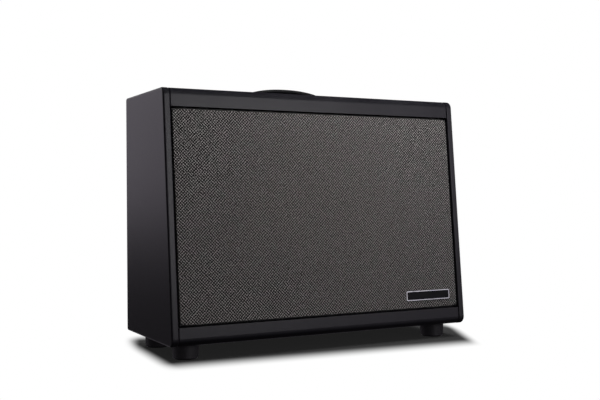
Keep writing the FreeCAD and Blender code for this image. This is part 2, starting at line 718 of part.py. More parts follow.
def basket(side, x):
    """The pressed steel frame of a driver, with windows and a ledge for the spider."""
    profile = [
        (driver_radius, -flange_depth),
        (driver_radius, 0),
        (basket_radius, 0),
        (basket_radius - basket_sheet, basket_rim),
        (landing_radius, landing_depth),
        (drum_radius + basket_sheet, landing_depth),
        (drum_radius + basket_sheet, drum_back),
        (magnet_bore, drum_back),
        (magnet_bore, drum_back - basket_sheet),
        (drum_radius, drum_back - basket_sheet),
        (drum_radius, landing_depth - basket_sheet),
        (landing_radius - basket_sheet / 2, landing_depth - basket_sheet),
        (basket_radius - 2 * basket_sheet, basket_rim - basket_sheet / 2),
        (basket_radius - basket_sheet, -flange_depth),
    ]
    body = turned(f"{side}_basket", profile, driver_point(x, 0), "inward")
    half_turn = math.radians(window_half_angle.value)
    cosine = Size(f"cos({window_half_angle.formula} * 1 deg)", math.cos(half_turn))
    sine = Size(f"sin({window_half_angle.formula} * 1 deg)", math.sin(half_turn))
    window = body.newObject("PartDesign::Pocket", f"{side}_window")
    window.Profile = outline(body, [
        (window_inner * cosine, -window_inner * sine),
        (window_outer * cosine, -window_outer * sine, -window_outer * (1 - cosine)),
        (window_outer * cosine, window_outer * sine),
        (window_inner * cosine, window_inner * sine, window_inner * (1 - cosine)),
    ], "XY_Plane")
    window.Type = "ThroughAll"
    window.Midplane = True
    windows = body.newObject("PartDesign::PolarPattern", f"{side}_windows")
    windows.Originals = [window]
    windows.Axis = (window.Profile[0], ["N_Axis"])
    windows.Angle = 360
    bind(windows, Occurrences=window_count)
    body.Tip = windows
    return body


gaskets = []
top_plates = []
magnets = []
yokes = []
horns = []
tweeters = []
for side, x in drivers:
    seat = driver_point(x, 0)
    keep(cut(f"{side}_driver_frame", basket(side, x), [cutters[side]]), f"{side}_driver_frame")
    gasket = turned(f"{side}_gasket", [
        (basket_radius, -gasket_front),
        (driver_radius, -gasket_front),
        (driver_radius, -flange_depth),
        (lip_radius + soft_gap, -flange_depth),
        (lip_radius + soft_gap, -flange_depth - soft_wall),
        (basket_radius, -flange_depth - soft_wall),
    ], seat, "inward")
    gaskets.append(cut(f"{side}_drilled_gasket", gasket, [cutters[side]]))
    surround = wavy_ring(f"{side}_surround", (cone_radius + soft_gap, cone_edge),
                         (basket_radius - basket_sheet, -flange_depth - soft_wall), lip_radius,
                         surround_rolls, surround_bow, seat)
    keep(surround, f"{side}_surround")
    ledge = landing_depth - basket_sheet - soft_wall
    spider = wavy_ring(f"{side}_spider", (coil_outer + soft_gap, ledge), (drum_radius, ledge),
                       landing_radius - 2 * basket_sheet, spider_rolls, spider_bow, seat)
    keep(spider, f"{side}_spider")
    cone = turned(f"{side}_cone", [
        (coil_outer, cone_neck, -cone_bow),
        (cone_radius, cone_edge),
        (cone_radius, cone_edge + cone_wall, cone_bow),
        (coil_outer, cone_neck + cone_wall),
    ], seat, "inward")
    keep(cone, f"{side}_cone")
    coil = turned(f"{side}_voice_coil", [
        (coil_inner, cone_neck),
        (coil_outer, cone_neck),
        (coil_outer, magnet_front + coil_tail),
        (coil_inner, magnet_front + coil_tail),
    ], seat, "inward")
    keep(coil, f"{side}_voice_coil")
    top_plates.append(turned(f"{side}_top_plate", [
        (plate_bore, drum_back),
        (plate_radius, drum_back),
        (plate_radius, magnet_front),
        (plate_bore, magnet_front),
    ], seat, "inward"))
    magnets.append(turned(f"{side}_magnet", [
        (magnet_bore, magnet_front),
        (magnet_radius, magnet_front),
        (magnet_radius, yoke_front),
        (magnet_bore, yoke_front),
    ], seat, "inward"))
    yokes.append(turned(f"{side}_yoke", [
        (throat_radius, drum_back),
        (pole_radius, drum_back),
        (pole_radius, yoke_front),
        (plate_radius, yoke_front),
        (plate_radius, yoke_back),
        (throat_radius, yoke_back),
    ], seat, "inward"))
    horns.append(turned(f"{side}_horn", [
        (throat_radius, drum_back),
        (horn_mouth - horn_wall, drum_back - horn_length),
        (horn_mouth, drum_back - horn_length),
        (throat_radius + 2 * horn_wall, drum_back - 2 * horn_wall),
        (horn_foot, drum_back - horn_wall),
        (horn_foot, drum_back),
    ], seat, "inward"))
    tweeters.append(turned(f"{side}_tweeter", [
        (throat_radius, yoke_back),
        (tweeter_radius, yoke_back),
        (tweeter_radius, yoke_back + tweeter_depth - tweeter_cap),
        (tweeter_radius - tweeter_cap, yoke_back + tweeter_depth),
        (0, yoke_back + tweeter_depth),
        (0, yoke_back + throat_radius),
    ], seat, "inward"))
keep(group("driver_gaskets", gaskets), "driver_gaskets")
keep(group("top_plates", top_plates), "top_plates")
keep(group("magnet_rings", magnets), "magnet_rings")
keep(group("yokes", yokes), "yokes")
keep(group("horns", horns), "horns")
keep(group("high_frequency_drivers", tweeters), "high_frequency_drivers")

# Back panel, its cleats and its screws

back_face = back_edge - back_recess
back_inner = back_face - back_board
panel_middle = box_top - panel_drop
inset = cleat / 2
outermost = inner_half - inset
back_spots = [(x, back_face, z) for x in spread(back_screws_across, -outermost, outermost)
              for z in (floor + inset, ceiling - inset)]
back_spots += [(x, back_face, (floor + ceiling) / 2) for x in (-outermost, outermost)]
back_screws, back_holes = screw_set("back", back_spots, back_board + screw_bite, "front")
keep(group("back_panel_screws", back_screws), "back_panel_screws")

opening_width = panel_width - 2 * panel_lap
opening_height = 2 * (row_offset + row_inset)
panel_height = opening_height + 2 * panel_lap
panel_face = back_face + panel_sheet
farthest = (panel_width - panel_lap) / 2
panel_spots = [(x, panel_face, panel_middle + side * (panel_height - panel_lap) / 2)
               for x in spread(panel_screws_across, -farthest, farthest)
               for side in (-1, 1)]
panel_screws, panel_holes = screw_set("panel", panel_spots, panel_sheet + back_board, "front")
keep(group("panel_screws", panel_screws), "panel_screws")

back_blank = box("back_blank", (2 * (inner_half - fit), back_board, ceiling - floor - 2 * fit),
                 (fit - inner_half, back_inner, floor + fit))
amp_opening = box("amp_opening", (opening_width, back_board, opening_height),
                  (-opening_width / 2, back_inner, panel_middle - opening_height / 2))
keep(cut("back_panel", back_blank, [amp_opening, back_holes, panel_holes]), "back_panel")

cleat_front = back_inner - cleat
level_length = 2 * (inner_half - cleat)
cleat_blanks = [
    box("left_back_cleat", (cleat, cleat, ceiling - floor), (-inner_half, cleat_front, floor)),
    box("right_back_cleat", (cleat, cleat, ceiling - floor), (inner_half - cleat, cleat_front, floor)),
    box("low_back_cleat", (level_length, cleat, cleat), (cleat - inner_half, cleat_front, floor)),
    box("high_back_cleat", (level_length, cleat, cleat), (cleat - inner_half, cleat_front, ceiling - cleat)),
]
drilled_cleats = [cut(blank.Name + "_drilled", blank, [back_holes]) for blank in cleat_blanks]
keep(group("back_cleats", drilled_cleats), "back_cleats")

# The post stands between the baffle and the lower back cleat, under the amplifier's chassis.

post_top = panel_middle - opening_height / 2 - post_gap
post_points = [
    (slope_y(baffle_back, floor), floor),
    (cleat_front, floor),
    (cleat_front, floor + cleat),
    (back_inner, floor + cleat),
    (back_inner, post_top),
    (slope_y(baffle_back, post_top), post_top),
]
keep(prism("centre_post", post_points, post_width, (-post_width / 2, 0, 0)), "centre_post")

# Feet, each held by a screw from below

foot_bottom = foot_radius - foot_taper
foot_spots = []
for end, y in (("front", front_edge + foot_inset_y), ("rear", back_edge - foot_inset_y)):
    for side, x in (("left", foot_inset_x - width / 2), ("right", width / 2 - foot_inset_x)):
        foot = turned(f"{end}_{side}_foot", [
            (foot_sink_radius, 0),
            (foot_bottom - foot_edge, 0),
            (foot_bottom, foot_edge),
            (foot_radius, board_bottom),
            (screw_radius + hole_gap, board_bottom),
            (screw_radius + hole_gap, foot_sink),
            (foot_sink_radius, foot_sink),
        ], (x, y, 0), "up")
        keep(foot, f"foot_{end}_{side}")
        foot_spots.append((x, y, foot_sink))
foot_screws, foot_holes = screw_set("foot", foot_spots, board_bottom - foot_sink + screw_bite, "up")
keep(group("foot_screws", foot_screws), "foot_screws")

# Top and bottom boards, behind the rails


def shell(name, front, outer, inner):
    """A board between the side boards, with its outer rear edge rounded like theirs."""
    points = [(front, outer), (back_edge, outer), (back_edge, inner), (front, inner)]
    board = prism(name, points, 2 * inner_half, (-inner_half, 0, 0))
    return rounded(board, corner_round - proud, lambda edge: all(
        abs(end.Y - back_edge.value) < 1e-6 and abs(end.Z - outer.value) < 1e-6 for end in edge.Vertexes))


bottom_blank = shell("bottom_blank", slope_y(baffle_front, floor), board_bottom, floor)
keep(cut("bottom_board", bottom_blank, [foot_holes]), "bottom_board")

top_blank = shell("top_blank", slope_y(baffle_front, board_top), board_top, ceiling)
handle_y = back_edge - handle_back
cap_height = strap_tab + strap_play + strap_gap + cap_wall
cap_spots = [(x, handle_y, board_top + cap_height)
             for x in (cap_screw_inset - handle_span / 2, handle_span / 2 - cap_screw_inset)]
cap_screws, cap_holes = screw_set("cap", cap_spots, cap_height + screw_bite, "down")
keep(group("handle_screws", cap_screws), "handle_screws")
keep(cut("top_board", top_blank, [cap_holes]), "top_board")

# Handle: a strap whose ends lie loose in two caps, so that it can lift a little

cap_width = strap_width + 2 * (strap_gap + cap_wall)
mouth = handle_span / 2 - cap_length
shoulder = mouth - strap_slope
tab_end = handle_span / 2 - cap_block - strap_gap
shoulder_top = strap_rise - strap_crown
shoulder_under = shoulder_top - strap_thickness
bend = mouth - strap_gap - strap_bend / 2
strap_points = [
    (-tab_end, 0),
    (-bend, 0),
    (-shoulder, shoulder_under, strap_crown),
    (shoulder, shoulder_under),
    (bend, 0),
    (tab_end, 0),
    (tab_end, strap_tab),
    (bend, strap_tab),
    (shoulder, shoulder_top, -strap_crown),
    (-shoulder, shoulder_top),
    (-bend, strap_tab),
    (-tab_end, strap_tab),
]
strap_start = (0, handle_y + strap_width / 2, board_top)
strap = prism("handle_strap", strap_points, strap_width, strap_start, "up", "XZ_Plane")
rounded(strap, strap_bend, lambda edge: runs_along(edge, vector(0, 1, 0))
        and abs(edge.Vertexes[0].X) < (bend + tab_end).value / 2)
rounded(strap, strap_round, lambda edge: not runs_along(edge, vector(0, 1, 0)))
keep(strap, "handle_strap")

caps = []
for side, x in (("left", -handle_span / 2), ("right", mouth)):
    plan = [(x, handle_y - cap_width / 2), (x + cap_length, handle_y - cap_width / 2),
            (x + cap_length, handle_y + cap_width / 2), (x, handle_y + cap_width / 2)]
    cap = prism(f"{side}_cap", plan, cap_height, (0, 0, board_top), "up", "XY_Plane")
    rounded(cap, cap_round, lambda edge: runs_along(edge, vector(0, 0, 1)))
    hollow_x = cap_block - handle_span / 2 if side == "left" else mouth
    hollow_size = (cap_length - cap_block, cap_width - 2 * cap_wall, cap_height - cap_wall)
    hollow_corner = (hollow_x, handle_y - cap_width / 2 + cap_wall, board_top)
    hollow = box(f"{side}_cap_hollow", hollow_size, hollow_corner)
    caps.append(cut(f"{side}_hollow_cap", cap, [hollow, cap_holes]))
keep(group("handle_caps", caps), "handle_caps")

# Amplifier panel's fittings: depths along them are counted outward from the panel's face.

upper_row = panel_middle + row_offset
lower_row = panel_middle - row_offset
opening_end = opening_width / 2
input_x = opening_end - input_inset
link_x = input_x - link_offset
display_x = opening_end - display_inset
home_x = display_x - display_width / 2 - home_gap
select_x = home_x - select_pitch
lift_x = select_x - lift_pitch
volume_x = lift_x - lift_pitch
inlet_x = inlet_inset - opening_end
rocker_x = inlet_x + rocker_pitch
panel_cuts = [panel_holes]


def panel_hole(x, z, radius):
    """A round hole through the amplifier panel."""
    panel_cuts.append(rod("round_hole", radius, panel_sheet, (x, back_face, z), "back"))


def panel_window(x, z, wide, tall):
    """A square hole through the amplifier panel."""
    panel_cuts.append(box("square_hole", (wide, panel_sheet, tall), (x - wide / 2, back_face, z - tall / 2)))


def jack(name, x, radius, flange):
    """A socket for a 6.35 mm plug, with its flange on the panel's face."""
    panel_hole(x, lower_row, radius + fit)
    return turned(name, [
        (0, -jack_depth),
        (radius, -jack_depth),
        (radius, 0),
        (flange, 0),
        (flange, lid_depth),
        (plug_radius, lid_depth),
        (plug_radius, lid_depth - plug_depth),
        (0, lid_depth - plug_depth),
    ], (x, panel_face, lower_row), "back")


for number in range(2):
    name = f"input_jack_{number + 1}"
    keep(jack(name, input_x - jack_pitch * number, jack_radius, jack_flange), name)
links = [jack(f"link_jack_{number + 1}", link_x - jack_pitch * number, link_radius, link_flange)
         for number in range(2)]
keep(group("link_jacks", links), "link_jacks")


def control(name, base, x):
    """A turning control: its body behind the panel, and its knob on a shaft."""
    start = (x, panel_face, upper_row)
    panel_hole(x, upper_row, bushing_radius + fit)
    bore = shaft_radius + shaft_gap
    keep(turned(base, [
        (bore, -control_space),
        (pot_radius, -control_space),
        (pot_radius, -panel_sheet),
        (bushing_radius, -panel_sheet),
        (bushing_radius, bushing_rise),
        (bore, bushing_rise),
    ], start, "back"), base)
    low = bushing_rise + knob_gap
    top = low + knob_height
    shaft_top = top - knob_crown
    blank = turned(name + "_blank", [
        (shaft_radius, low),
        (knob_radius, low),
        (knob_radius - knob_taper, top - knob_bevel),
        (knob_radius - knob_taper - knob_bevel, top),
        (0, top),
        (0, shaft_top),
        (shaft_radius, shaft_top),
    ], start, "back")
    line = box(name + "_line", (knob_line, knob_line_depth, knob_radius),
               (x - knob_line / 2, panel_face + top - knob_line_depth, upper_row))
    shaft_low = knob_gap - control_space
    shaft_start = (x, panel_face + shaft_low, upper_row)
    shaft = rod(name + "_shaft", shaft_radius, shaft_top - shaft_low, shaft_start, "back")
    keep(group(name, [cut(name + "_cap", blank, [line]), shaft]), name)


control("volume_knob", "volume_pot", volume_x)
control("select_knob", "select_encoder", select_x)

display_points = [(0, 0), (display_width, 0), (display_width, display_height), (0, display_height)]
display = prism("display_window", display_points, display_depth,
                (display_x - display_width / 2, panel_face + display_depth, upper_row - display_height / 2),
                "up", "XZ_Plane")
keep(rounded(display, display_corner, lambda edge: runs_along(edge, vector(0, 1, 0))), "display_window")
panel_window(display_x, upper_row, display_width - 2 * display_lip, display_height - 2 * display_lip)

# Push buttons, and the board that carries their switches and the turning controls

collar_front = -panel_sheet - button_gap
collar_back = collar_front - button_collar_depth
board_face = panel_face - control_space
board_left = volume_x - board_reach
board_low = panel_middle - board_dip
board_high = panel_middle + opening_height / 2 - board_edge
board_width = opening_end - board_end - board_left
board_pieces = [box("control_sheet", (board_width, board_sheet, board_high - board_low),
                    (board_left, board_face - board_sheet, board_low))]
for name, x in (("home_button", home_x), ("lift_button", lift_x)):
    panel_hole(x, upper_row, button_radius + button_gap)
    button = turned(name, [
        (0, collar_back),
        (button_collar, collar_back),
        (button_collar, collar_front),
        (button_radius, collar_front),
        (button_radius, button_rise - button_bevel),
        (button_radius - button_bevel, button_rise),
        (0, button_rise),
    ], (x, panel_face, upper_row), "back")
    keep(button, name)
    switch_depth = control_space + collar_back - button_travel - button_gap
    board_pieces.append(box(name + "_switch", (switch_side, switch_depth, switch_side),
                            (x - switch_side / 2, board_face, upper_row - switch_side / 2)))
keep(group("control_board", board_pieces), "control_board")

# Mains inlet: a flange, a body with a socket in it, and three pins

socket_width = inlet_body_width - 2 * inlet_wall
socket_height = inlet_body_height - 2 * inlet_wall
socket_floor = panel_face - inlet_depth + inlet_wall
inlet_shape = fuse("inlet_shape", [
    box("inlet_flange", (inlet_width, lid_depth, inlet_height),
        (inlet_x - inlet_width / 2, panel_face, panel_middle - inlet_height / 2)),
    box("inlet_body", (inlet_body_width, inlet_depth, inlet_body_height),
        (inlet_x - inlet_body_width / 2, panel_face - inlet_depth, panel_middle - inlet_body_height / 2)),
])
socket = box("inlet_socket", (socket_width, inlet_depth + lid_depth, socket_height),
             (inlet_x - socket_width / 2, socket_floor, panel_middle - socket_height / 2))
pins = [box("inlet_pin", (pin_width, pin_length, pin_height),
            (inlet_x + pin_pitch * step - pin_width / 2, socket_floor, panel_middle - drop - pin_height / 2))
        for step, drop in ((-1, pin_drop), (0, -pin_drop), (1, pin_drop))]
keep(fuse("mains_inlet", [cut("inlet_shell", inlet_shape, [socket])] + pins), "mains_inlet")
panel_window(inlet_x, panel_middle, inlet_body_width + 2 * fit, inlet_body_height + 2 * fit)

# Power rocker on its pivot pins, in its frame

pivot_y = panel_face - rocker_sink
rocker_half = root(rocker_radius * rocker_radius - rocker_reach * rocker_reach)
tilt_tangent = Size(f"tan({rocker_tilt.formula} * 1 deg)", math.tan(math.radians(rocker_tilt.value)))
rocker_points = [
    (rocker_reach, rocker_half),
    (rocker_reach - rocker_half * tilt_tangent, 0),
    (rocker_reach, -rocker_half, rocker_radius + rocker_reach),
]
rocker_start = (rocker_x - rocker_length / 2, pivot_y, panel_middle)
rocker = prism("rocker_body", rocker_points, rocker_length, rocker_start, "rocked")
space_width = rocker_length + 2 * rocker_gap
space_height = 2 * (rocker_radius + rocker_gap)
sleeve_width = space_width + 2 * rocker_wall
sleeve_height = space_height + 2 * rocker_wall


def rocker_box(name, wide, tall, back, front):
    """A block centred on the rocker, between two depths from the panel's face."""
    corner = (rocker_x - wide / 2, panel_face + back, panel_middle - tall / 2)
    return box(name, (wide, front - back, tall), corner)


lid_width = sleeve_width + 2 * rocker_flange
lid_height = sleeve_height + 2 * rocker_flange
frame_shape = fuse("rocker_frame_shape", [
    rocker_box("rocker_lid", lid_width, lid_height, as_size(0), lid_depth),
    rocker_box("rocker_sleeve", sleeve_width, sleeve_height, -rocker_frame_depth, lid_depth),
])
rocker_space = rocker_box("rocker_space", space_width, space_height, -rocker_frame_depth, 2 * lid_depth)
pivot_hole_start = (rocker_x - sleeve_width / 2, pivot_y, panel_middle)
pivot_hole = rod("pivot_hole", pivot_radius + pivot_gap, sleeve_width, pivot_hole_start, "right")
keep(cut("rocker_frame", frame_shape, [rocker_space, pivot_hole]), "rocker_frame")
pivot_length = space_width + rocker_wall
pivot_start = (rocker_x - pivot_length / 2, pivot_y, panel_middle)
pivot = rod("pivot", pivot_radius, pivot_length, pivot_start, "right")
keep(fuse("power_rocker", [rocker, pivot]), "power_rocker")
panel_window(rocker_x, panel_middle, sleeve_width + 2 * fit, sleeve_height + 2 * fit)

# Amplifier panel, chassis and power board

panel_blank = box("panel_blank", (panel_width, panel_sheet, panel_height),
                  (-panel_width / 2, back_face, panel_middle - panel_height / 2))
keep(cut("amp_panel", panel_blank, panel_cuts), "amp_panel")

chassis_width = opening_width - 2 * fit
chassis_height = opening_height - 2 * fit
chassis_front = back_face - chassis_depth
chassis_low = panel_middle - chassis_height / 2
chassis_blank = box("chassis_blank", (chassis_width, chassis_depth, chassis_height),
                    (-chassis_width / 2, chassis_front, chassis_low))
chassis_floor = chassis_low + chassis_sheet
chassis_hollow = box("chassis_hollow",
                     (chassis_width - 2 * chassis_sheet, chassis_depth, chassis_height - 2 * chassis_sheet),
                     (chassis_sheet - chassis_width / 2, chassis_front + chassis_sheet, chassis_floor))
keep(cut("amp_chassis", chassis_blank, [chassis_hollow]), "amp_chassis")

power_front = chassis_front + chassis_sheet + power_gap
power_depth = panel_face - jack_depth - power_back - power_front
power_pieces = [box("power_sheet", (power_width, power_depth, board_sheet),
                    (-power_width / 2, power_front, chassis_floor + standoff_height))]
for x in (standoff_inset - power_width / 2, power_width / 2 - standoff_inset):
    for y in (power_front + standoff_inset, power_front + power_depth - standoff_inset):
        power_pieces.append(rod("standoff", standoff_radius, standoff_height, (x, y, chassis_floor)))
keep(group("power_board", power_pieces), "power_board")
doc.recompute()

failed = [piece.Name for piece in doc.Objects if "Invalid" in piece.State or "Error" in piece.State]
if failed:
    raise RuntimeError(f"not built: {failed}")
os.makedirs("parts", exist_ok=True)
for name, piece in parts.items():
    shape = piece.Shape
    if shape.isNull() or not shape.isValid():
        raise RuntimeError(f"{name} has no sound shape")
    shape.exportStep(f"parts/{name}.step")
    print(name, len(shape.Solids), round(shape.Volume))
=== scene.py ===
# %% [markdown]
# A guitar speaker cabinet, dressed in Blender
#
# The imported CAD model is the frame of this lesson: every board, driver and knob is already in its place. The
# cells below give each of them a finish made of shader nodes, and add the forms that CAD leaves plain, such
# as the stretched cloth, the moulded strap and the fluted knobs. All lengths are in metres.

# %% Load the frame
import json
import math

import bmesh
import bpy
import numpy as np
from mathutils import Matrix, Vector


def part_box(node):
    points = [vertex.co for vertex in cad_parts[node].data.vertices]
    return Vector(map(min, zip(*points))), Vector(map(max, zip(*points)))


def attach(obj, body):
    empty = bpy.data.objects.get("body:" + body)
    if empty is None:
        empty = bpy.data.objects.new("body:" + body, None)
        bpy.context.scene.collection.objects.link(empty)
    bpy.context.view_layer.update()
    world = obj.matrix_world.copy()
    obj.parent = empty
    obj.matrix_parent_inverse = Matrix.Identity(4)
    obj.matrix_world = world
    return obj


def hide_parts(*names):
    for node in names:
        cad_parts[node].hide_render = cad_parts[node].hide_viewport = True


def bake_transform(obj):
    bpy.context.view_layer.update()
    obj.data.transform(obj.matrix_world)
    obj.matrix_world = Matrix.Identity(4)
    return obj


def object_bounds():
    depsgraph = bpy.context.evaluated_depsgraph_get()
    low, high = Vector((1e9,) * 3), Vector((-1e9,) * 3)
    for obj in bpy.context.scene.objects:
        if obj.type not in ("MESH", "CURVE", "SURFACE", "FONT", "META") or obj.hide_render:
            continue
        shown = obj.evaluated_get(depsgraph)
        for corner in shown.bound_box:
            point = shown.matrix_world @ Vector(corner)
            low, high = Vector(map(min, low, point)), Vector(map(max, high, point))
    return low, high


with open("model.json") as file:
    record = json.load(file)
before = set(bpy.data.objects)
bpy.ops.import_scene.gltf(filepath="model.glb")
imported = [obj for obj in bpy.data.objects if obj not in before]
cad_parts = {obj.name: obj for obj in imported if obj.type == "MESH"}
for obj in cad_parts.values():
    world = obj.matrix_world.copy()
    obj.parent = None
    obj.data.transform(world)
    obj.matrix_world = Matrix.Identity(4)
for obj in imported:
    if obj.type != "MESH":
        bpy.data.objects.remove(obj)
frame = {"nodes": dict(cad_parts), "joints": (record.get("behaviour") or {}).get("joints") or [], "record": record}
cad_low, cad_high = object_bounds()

nodes = frame["nodes"]
joints = {joint["name"]: joint for joint in frame["joints"]}

# %% [markdown]
# The front leans back by about five degrees, so the grille, the badge and the drivers are easiest to
# describe on axes of their own: across, into the box, and up the slope. The joint that pulls the grille off
# already points straight out of the front, and the other two axes follow from it. A node's corners on these
# axes come from its vertices.

# %% Axes of the leaning front
across = np.array([1.0, 0.0, 0.0])
outward = np.array(joints["grille_pull"]["axis"], float)
outward /= np.linalg.norm(outward)
inward = -outward
upward = np.cross(across, inward)
slope_axes = np.array([across, inward, upward])


def vertices(mesh):
    """A mesh's vertices as an array of points."""
    points = np.empty(3 * len(mesh.vertices))
    mesh.vertices.foreach_get("co", points)
    return points.reshape(-1, 3)


def slope_box(node):
    """Lowest and highest corner of a node on the slope's axes: across, inward, upward."""
    points = vertices(nodes[node].data) @ slope_axes.T
    return points.min(0), points.max(0)


def from_slope(points):
    """Points given on the slope's axes, in the frame's own axes: the sum of each part times its axis."""
    return np.asarray(points, float) @ slope_axes


print("lean of the front:", round(math.degrees(math.asin(outward[2])), 2), "degrees")

# %% [markdown]
# New pieces are grids of points. A grid has rows and columns, and each small square between neighbours
# becomes a face. Where a row shrinks to a single point the grid has a pole, so equal points are merged, and
# then Blender is asked to turn every face outwards. The same helper takes many copies of one grid, which is
# how all the screws of a panel become one piece. A piece wears the finish that its slot is named for.

# %% From grids to pieces
weld_distance = 1e-6
sliver_size = 1e-7


def grid_faces(rows, columns):
    """Four corners for each square of a grid whose last column joins its first."""
    row = np.arange(rows - 1)[:, None]
    column = np.arange(columns)[None, :]
    beside = (column + 1) % columns
    corners = [row * columns + column, row * columns + beside,
               (row + 1) * columns + beside, (row + 1) * columns + column]
    return np.stack(corners, -1).reshape(-1, 4)


def add_piece(name, grids, body, slot, stands_for=(), sharp=40, closed=True):
    """A mesh from one grid, or from a stack of copies, that rides on a body and may stand for CAD nodes.
    Edges over sharp degrees stay crisp. An open sheet keeps its faces as the grid turns them."""
    grids = np.asarray(grids, float)
    grids = grids.reshape(-1, *grids.shape[-3:])
    copies, rows, columns = grids.shape[:3]
    faces = grid_faces(rows, columns)
    first = np.arange(copies) * rows * columns
    faces = (faces[None] + first[:, None, None]).reshape(-1, 4)
    mesh = bpy.data.meshes.new(name)
    mesh.from_pydata(grids.reshape(-1, 3), [], faces)
    shell = bmesh.new()
    shell.from_mesh(mesh)
    bmesh.ops.remove_doubles(shell, verts=shell.verts, dist=weld_distance)
    bmesh.ops.dissolve_degenerate(shell, edges=shell.edges, dist=sliver_size)
    if closed:
        bmesh.ops.recalc_face_normals(shell, faces=shell.faces)
    shell.to_mesh(mesh)
    shell.free()
    mesh.shade_smooth()
    mesh.set_sharp_from_angle(angle=math.radians(sharp))
    piece = bpy.data.objects.new(name, mesh)
    bpy.context.scene.collection.objects.link(piece)
    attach(piece, body)
    if stands_for:
        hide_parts(*stands_for)
    mesh.materials.append(finishes[slot])
    print(name, "has", len(mesh.polygons), "faces on", body)
    return piece


def eased(corners, cut, steps):
    """A run of straight lines with its inner corners eased. Near a corner c the line leaves at a, one cut
    before it, and comes back at b, one cut after it, along (1-t)(1-t)a + 2t(1-t)c + ttb."""
    corners = np.asarray(corners, float)
    before, corner, after = corners[:-2], corners[1:-1], corners[2:]
    cut = np.broadcast_to(np.asarray(cut, float), len(corner))[:, None]
    back = before - corner
    ahead = after - corner
    start = (corner + cut * back / np.linalg.norm(back, axis=1, keepdims=True))[:, None]
    end = (corner + cut * ahead / np.linalg.norm(ahead, axis=1, keepdims=True))[:, None]
    share = np.linspace(0, 1, steps)[None, :, None]
    bends = (1 - share) ** 2 * start + 2 * share * (1 - share) * corner[:, None] + share ** 2 * end
    return np.vstack([corners[:1], bends.reshape(-1, corners.shape[1]), corners[-1:]])


def ring_axes(axis):
    """Two unit directions square to an axis and to each other."""
    axis = np.asarray(axis, float)
    aside = across if abs(axis[0]) < 0.9 else np.array([0.0, 0.0, 1.0])
    second = np.cross(axis, aside)
    second /= np.linalg.norm(second)
    return np.cross(second, axis), second


def turned(profile, centre, axis, sides, swell=1.0):
    """A lathe: each profile point (radius, along) is carried round the axis. swell is a factor on the
    radius, one number or one for each profile point and side."""
    first, second = ring_axes(axis)
    angle = np.linspace(0, 2 * math.pi, sides, endpoint=False)
    spokes = np.cos(angle)[:, None] * first + np.sin(angle)[:, None] * second
    radius, along = np.asarray(profile, float).T
    reach = radius[:, None] * swell * np.ones(sides)
    return (np.asarray(centre) + reach[..., None] * spokes
            + along[:, None, None] * np.asarray(axis, float))


def slab(centres, right, top, half_width, half_height, thickness, power, edge, sides=40):
    """Low pads with rounded corners. The outline is a superellipse, |x/a|^n + |y/b|^n = 1 with n the power,
    and the profile carries it out along the base, up the wall and in over the eased edge to the middle. The
    directions right and top may differ by copy, and the pad rises along right x top."""
    centres = np.asarray(centres, float).reshape(-1, 1, 1, 3)
    right = np.asarray(right, float).reshape(-1, 1, 1, 3)
    top = np.asarray(top, float).reshape(-1, 1, 1, 3)
    angle = np.linspace(0, 2 * math.pi, sides, endpoint=False)
    cosine, sine = np.cos(angle).round(12), np.sin(angle).round(12)
    x = np.sign(cosine) * np.abs(cosine) ** (2 / power)
    y = np.sign(sine) * np.abs(sine) ** (2 / power)
    inmost = min(half_width, half_height)
    profile = eased([(inmost, 0), (0, 0), (0, thickness), (inmost, thickness)], edge, 4)
    inset, lift = profile.T[:, None, :, None]
    outline = ((half_width - inset) * x)[..., None] * right + ((half_height - inset) * y)[..., None] * top
    return centres + outline + lift[..., None] * np.cross(right, top)


def solid_boxes(node, gaps, axes=np.eye(3)):
    """The middle and corners of each solid in a node of small solids, on the given axes. Along each axis,
    sorted values fall into groups wherever a step is wider than that axis's gap, and each triple of groups
    with points in it is a solid."""
    points = vertices(nodes[node].data) @ axes.T

    def groups(values, gap):
        order = np.argsort(values)
        steps = np.diff(values[order], prepend=values[order[0]]) > gap
        found = np.empty(len(values), int)
        found[order] = np.cumsum(steps)
        return found

    triple = np.stack([groups(values, gap) for values, gap in zip(points.T, gaps)], -1)
    kinds, which = np.unique(triple, axis=0, return_inverse=True)
    low = np.full((len(kinds), 3), np.inf)
    high = np.full((len(kinds), 3), -np.inf)
    np.minimum.at(low, which.ravel(), points)
    np.maximum.at(high, which.ravel(), points)
    return (low + high) / 2, low, high


print("helpers: grids, eased lines, lathe, slabs, boxes of solids")

# %% [markdown]
# A finish is a small network of shader nodes. Writing sums on sockets by hand takes many lines, so a wrapped
# socket knows the usual operators: each one adds a Math node and gives back its result. Every other node
# comes from one method that takes its type, its settings, and what goes into its sockets. Materials and the
# sky are wired with the same methods.

# %% Shader sums
class Value:
    """A socket that can be used in sums."""

    def __init__(self, wiring, socket):
        self.wiring = wiring
        self.socket = socket

    def math(self, operation, *others):
        return self.wiring.node("Math", {"operation": operation}, dict(enumerate((self, *others))))

    def __add__(self, other):
        return self.math("ADD", other)

    def __sub__(self, other):
        return self.math("SUBTRACT", other)

    def __rsub__(self, other):
        return self.wiring.node("Math", {"operation": "SUBTRACT"}, {0: other, 1: self})

    def __mul__(self, other):
        return self.math("MULTIPLY", other)

    __radd__ = __add__
    __rmul__ = __mul__


